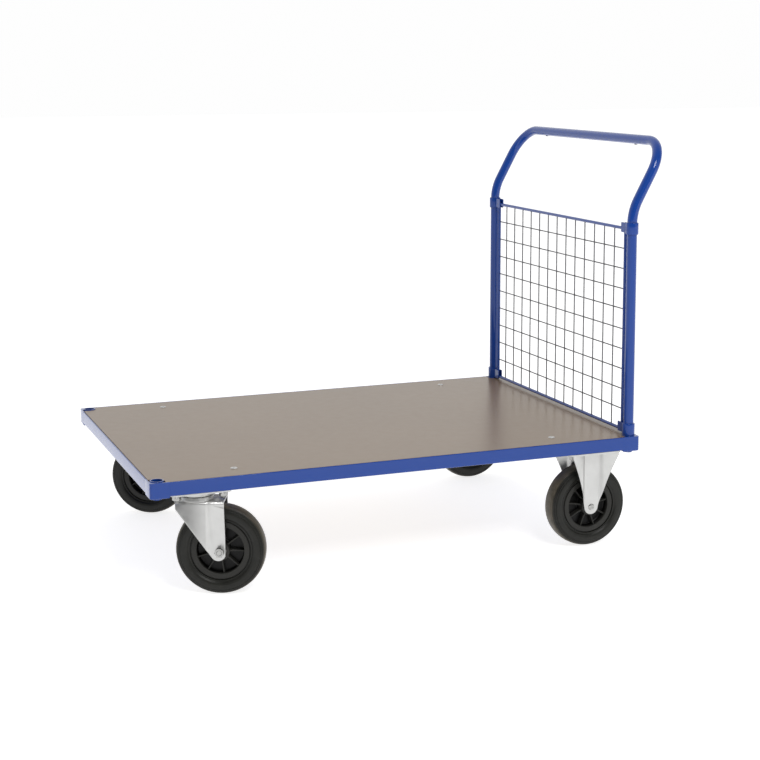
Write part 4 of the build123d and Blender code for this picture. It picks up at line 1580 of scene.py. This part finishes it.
# ------------------------------------------------------------------ studio
@dataclass(frozen=True)
class Studio:
    """White surroundings, a pale floor, soft light and the camera."""

    camera_place: tuple[float, float, float] = (-1.33255, -3.65381, 1.16678)
    yaw: float = 21.19
    pitch: float = -7.15
    roll: float = -0.06
    lens: float = 74.95
    shift_y: float = -0.158
    backdrop: float = 0.99
    behind_camera: float = 0.14
    floor_size: float = 60.0
    floor_glow: float = 0.78
    aim: tuple[float, float, float] = (0.1, 0.0, 0.4)

    def camera(self) -> None:
        """Set the camera."""
        data = bpy.data.cameras.new("camera")
        data.lens = self.lens
        data.sensor_width = 36.0
        data.shift_y = self.shift_y
        data.clip_end = 100.0
        camera = bpy.data.objects.new("camera", data)
        yaw, pitch = math.radians(self.yaw), math.radians(self.pitch)
        level = math.cos(pitch)
        forward = Vector((math.sin(yaw) * level, math.cos(yaw) * level, math.sin(pitch)))
        turn = forward.to_track_quat("-Z", "Y").to_matrix().to_4x4()
        turn = turn @ Matrix.Rotation(math.radians(self.roll), 4, "Z")
        camera.matrix_world = Matrix.Translation(self.camera_place) @ turn
        bpy.context.scene.collection.objects.link(camera)
        bpy.context.scene.camera = camera

    def lamp(self, name: str, place: tuple[float, float, float], size: float, power: float) -> None:
        """Add a square area light that faces the truck.

        Args:
            name: Its name.
            place: Where it stands, in metres.
            size: Its side, in metres.
            power: Its power, in watts.
        """
        data = bpy.data.lights.new(name, "AREA")
        data.energy = power
        data.size = size
        light = bpy.data.objects.new(name, data)
        light.location = place
        light.rotation_mode = "QUATERNION"
        light.rotation_quaternion = (Vector(self.aim) - Vector(place)).to_track_quat("-Z", "Y")
        bpy.context.scene.collection.objects.link(light)

    def surroundings(self) -> bpy.types.World:
        """Return a white world that is darker behind the camera."""
        world = bpy.data.worlds.new("white_studio")
        world.use_nodes = True
        nodes, links = world.node_tree.nodes, world.node_tree.links
        split = nodes.new("ShaderNodeSeparateXYZ")
        links.new(nodes.new("ShaderNodeTexCoord").outputs["Generated"], split.inputs["Vector"])
        ramp = nodes.new("ShaderNodeMapRange")
        ramp.interpolation_type = "SMOOTHSTEP"
        for label, value in (("From Min", -0.7), ("From Max", 0.85), ("To Min", self.behind_camera),
                             ("To Max", self.backdrop)):
            ramp.inputs[label].default_value = value
        links.new(split.outputs["Y"], ramp.inputs["Value"])
        nodes["Background"].inputs["Color"].default_value = (1.0, 1.0, 1.0, 1.0)
        links.new(ramp.outputs["Result"], nodes["Background"].inputs["Strength"])
        return world

    def floor(self) -> None:
        """Lay the pale floor."""
        graph = ShaderGraph("pale_floor")
        graph.colour(graph.blend(graph.noise(2.0), (0.56, 0.56, 0.56), (0.59, 0.59, 0.59)))
        graph.set(Roughness=0.9, Emission_Strength=self.floor_glow, Emission_Color=(1.0, 1.0, 1.0, 1.0))
        mesh = bmesh.new()
        bmesh.ops.create_grid(mesh, x_segments=1, y_segments=1, size=self.floor_size / 2)
        data = bpy.data.meshes.new("studio_floor")
        mesh.to_mesh(data)
        mesh.free()
        data.materials.append(graph.material)
        floor = bpy.data.objects.new("studio_floor", data)
        bpy.context.scene.collection.objects.link(floor)

    def build(self) -> None:
        """Build surroundings, floor, lights and camera."""
        scene = bpy.context.scene
        scene.world = self.surroundings()
        self.floor()
        self.lamp("key", (0.2, -3.6, 3.6), 1.5, 95.0)
        self.lamp("fill", (3.2, -3.4, 1.5), 2.4, 14.0)
        self.camera()
        scene.view_settings.view_transform = "Standard"
        scene.view_settings.look = "None"


def main() -> None:
    """Build every sub-assembly and the studio."""
    logging.basicConfig(level=logging.INFO, format="%(message)s")
    shop = Workshop()
    EdgeRails(shop).build()
    CornerSockets(shop).build()
    DeckBoard(shop).build()
    PushHandle(shop).build()
    MeshPanel(shop).build()
    for side in Side:
        for mounting in Mounting:
            CasterBolts(shop, mounting, side).build()
            Wheel(shop, mounting, side).build()
        SwivelHead(shop, side).build()
        SwivelFork(shop, side).build()
        FixedBracket(shop, side).build()
    Studio().build()


if __name__ == "__main__":
    main()
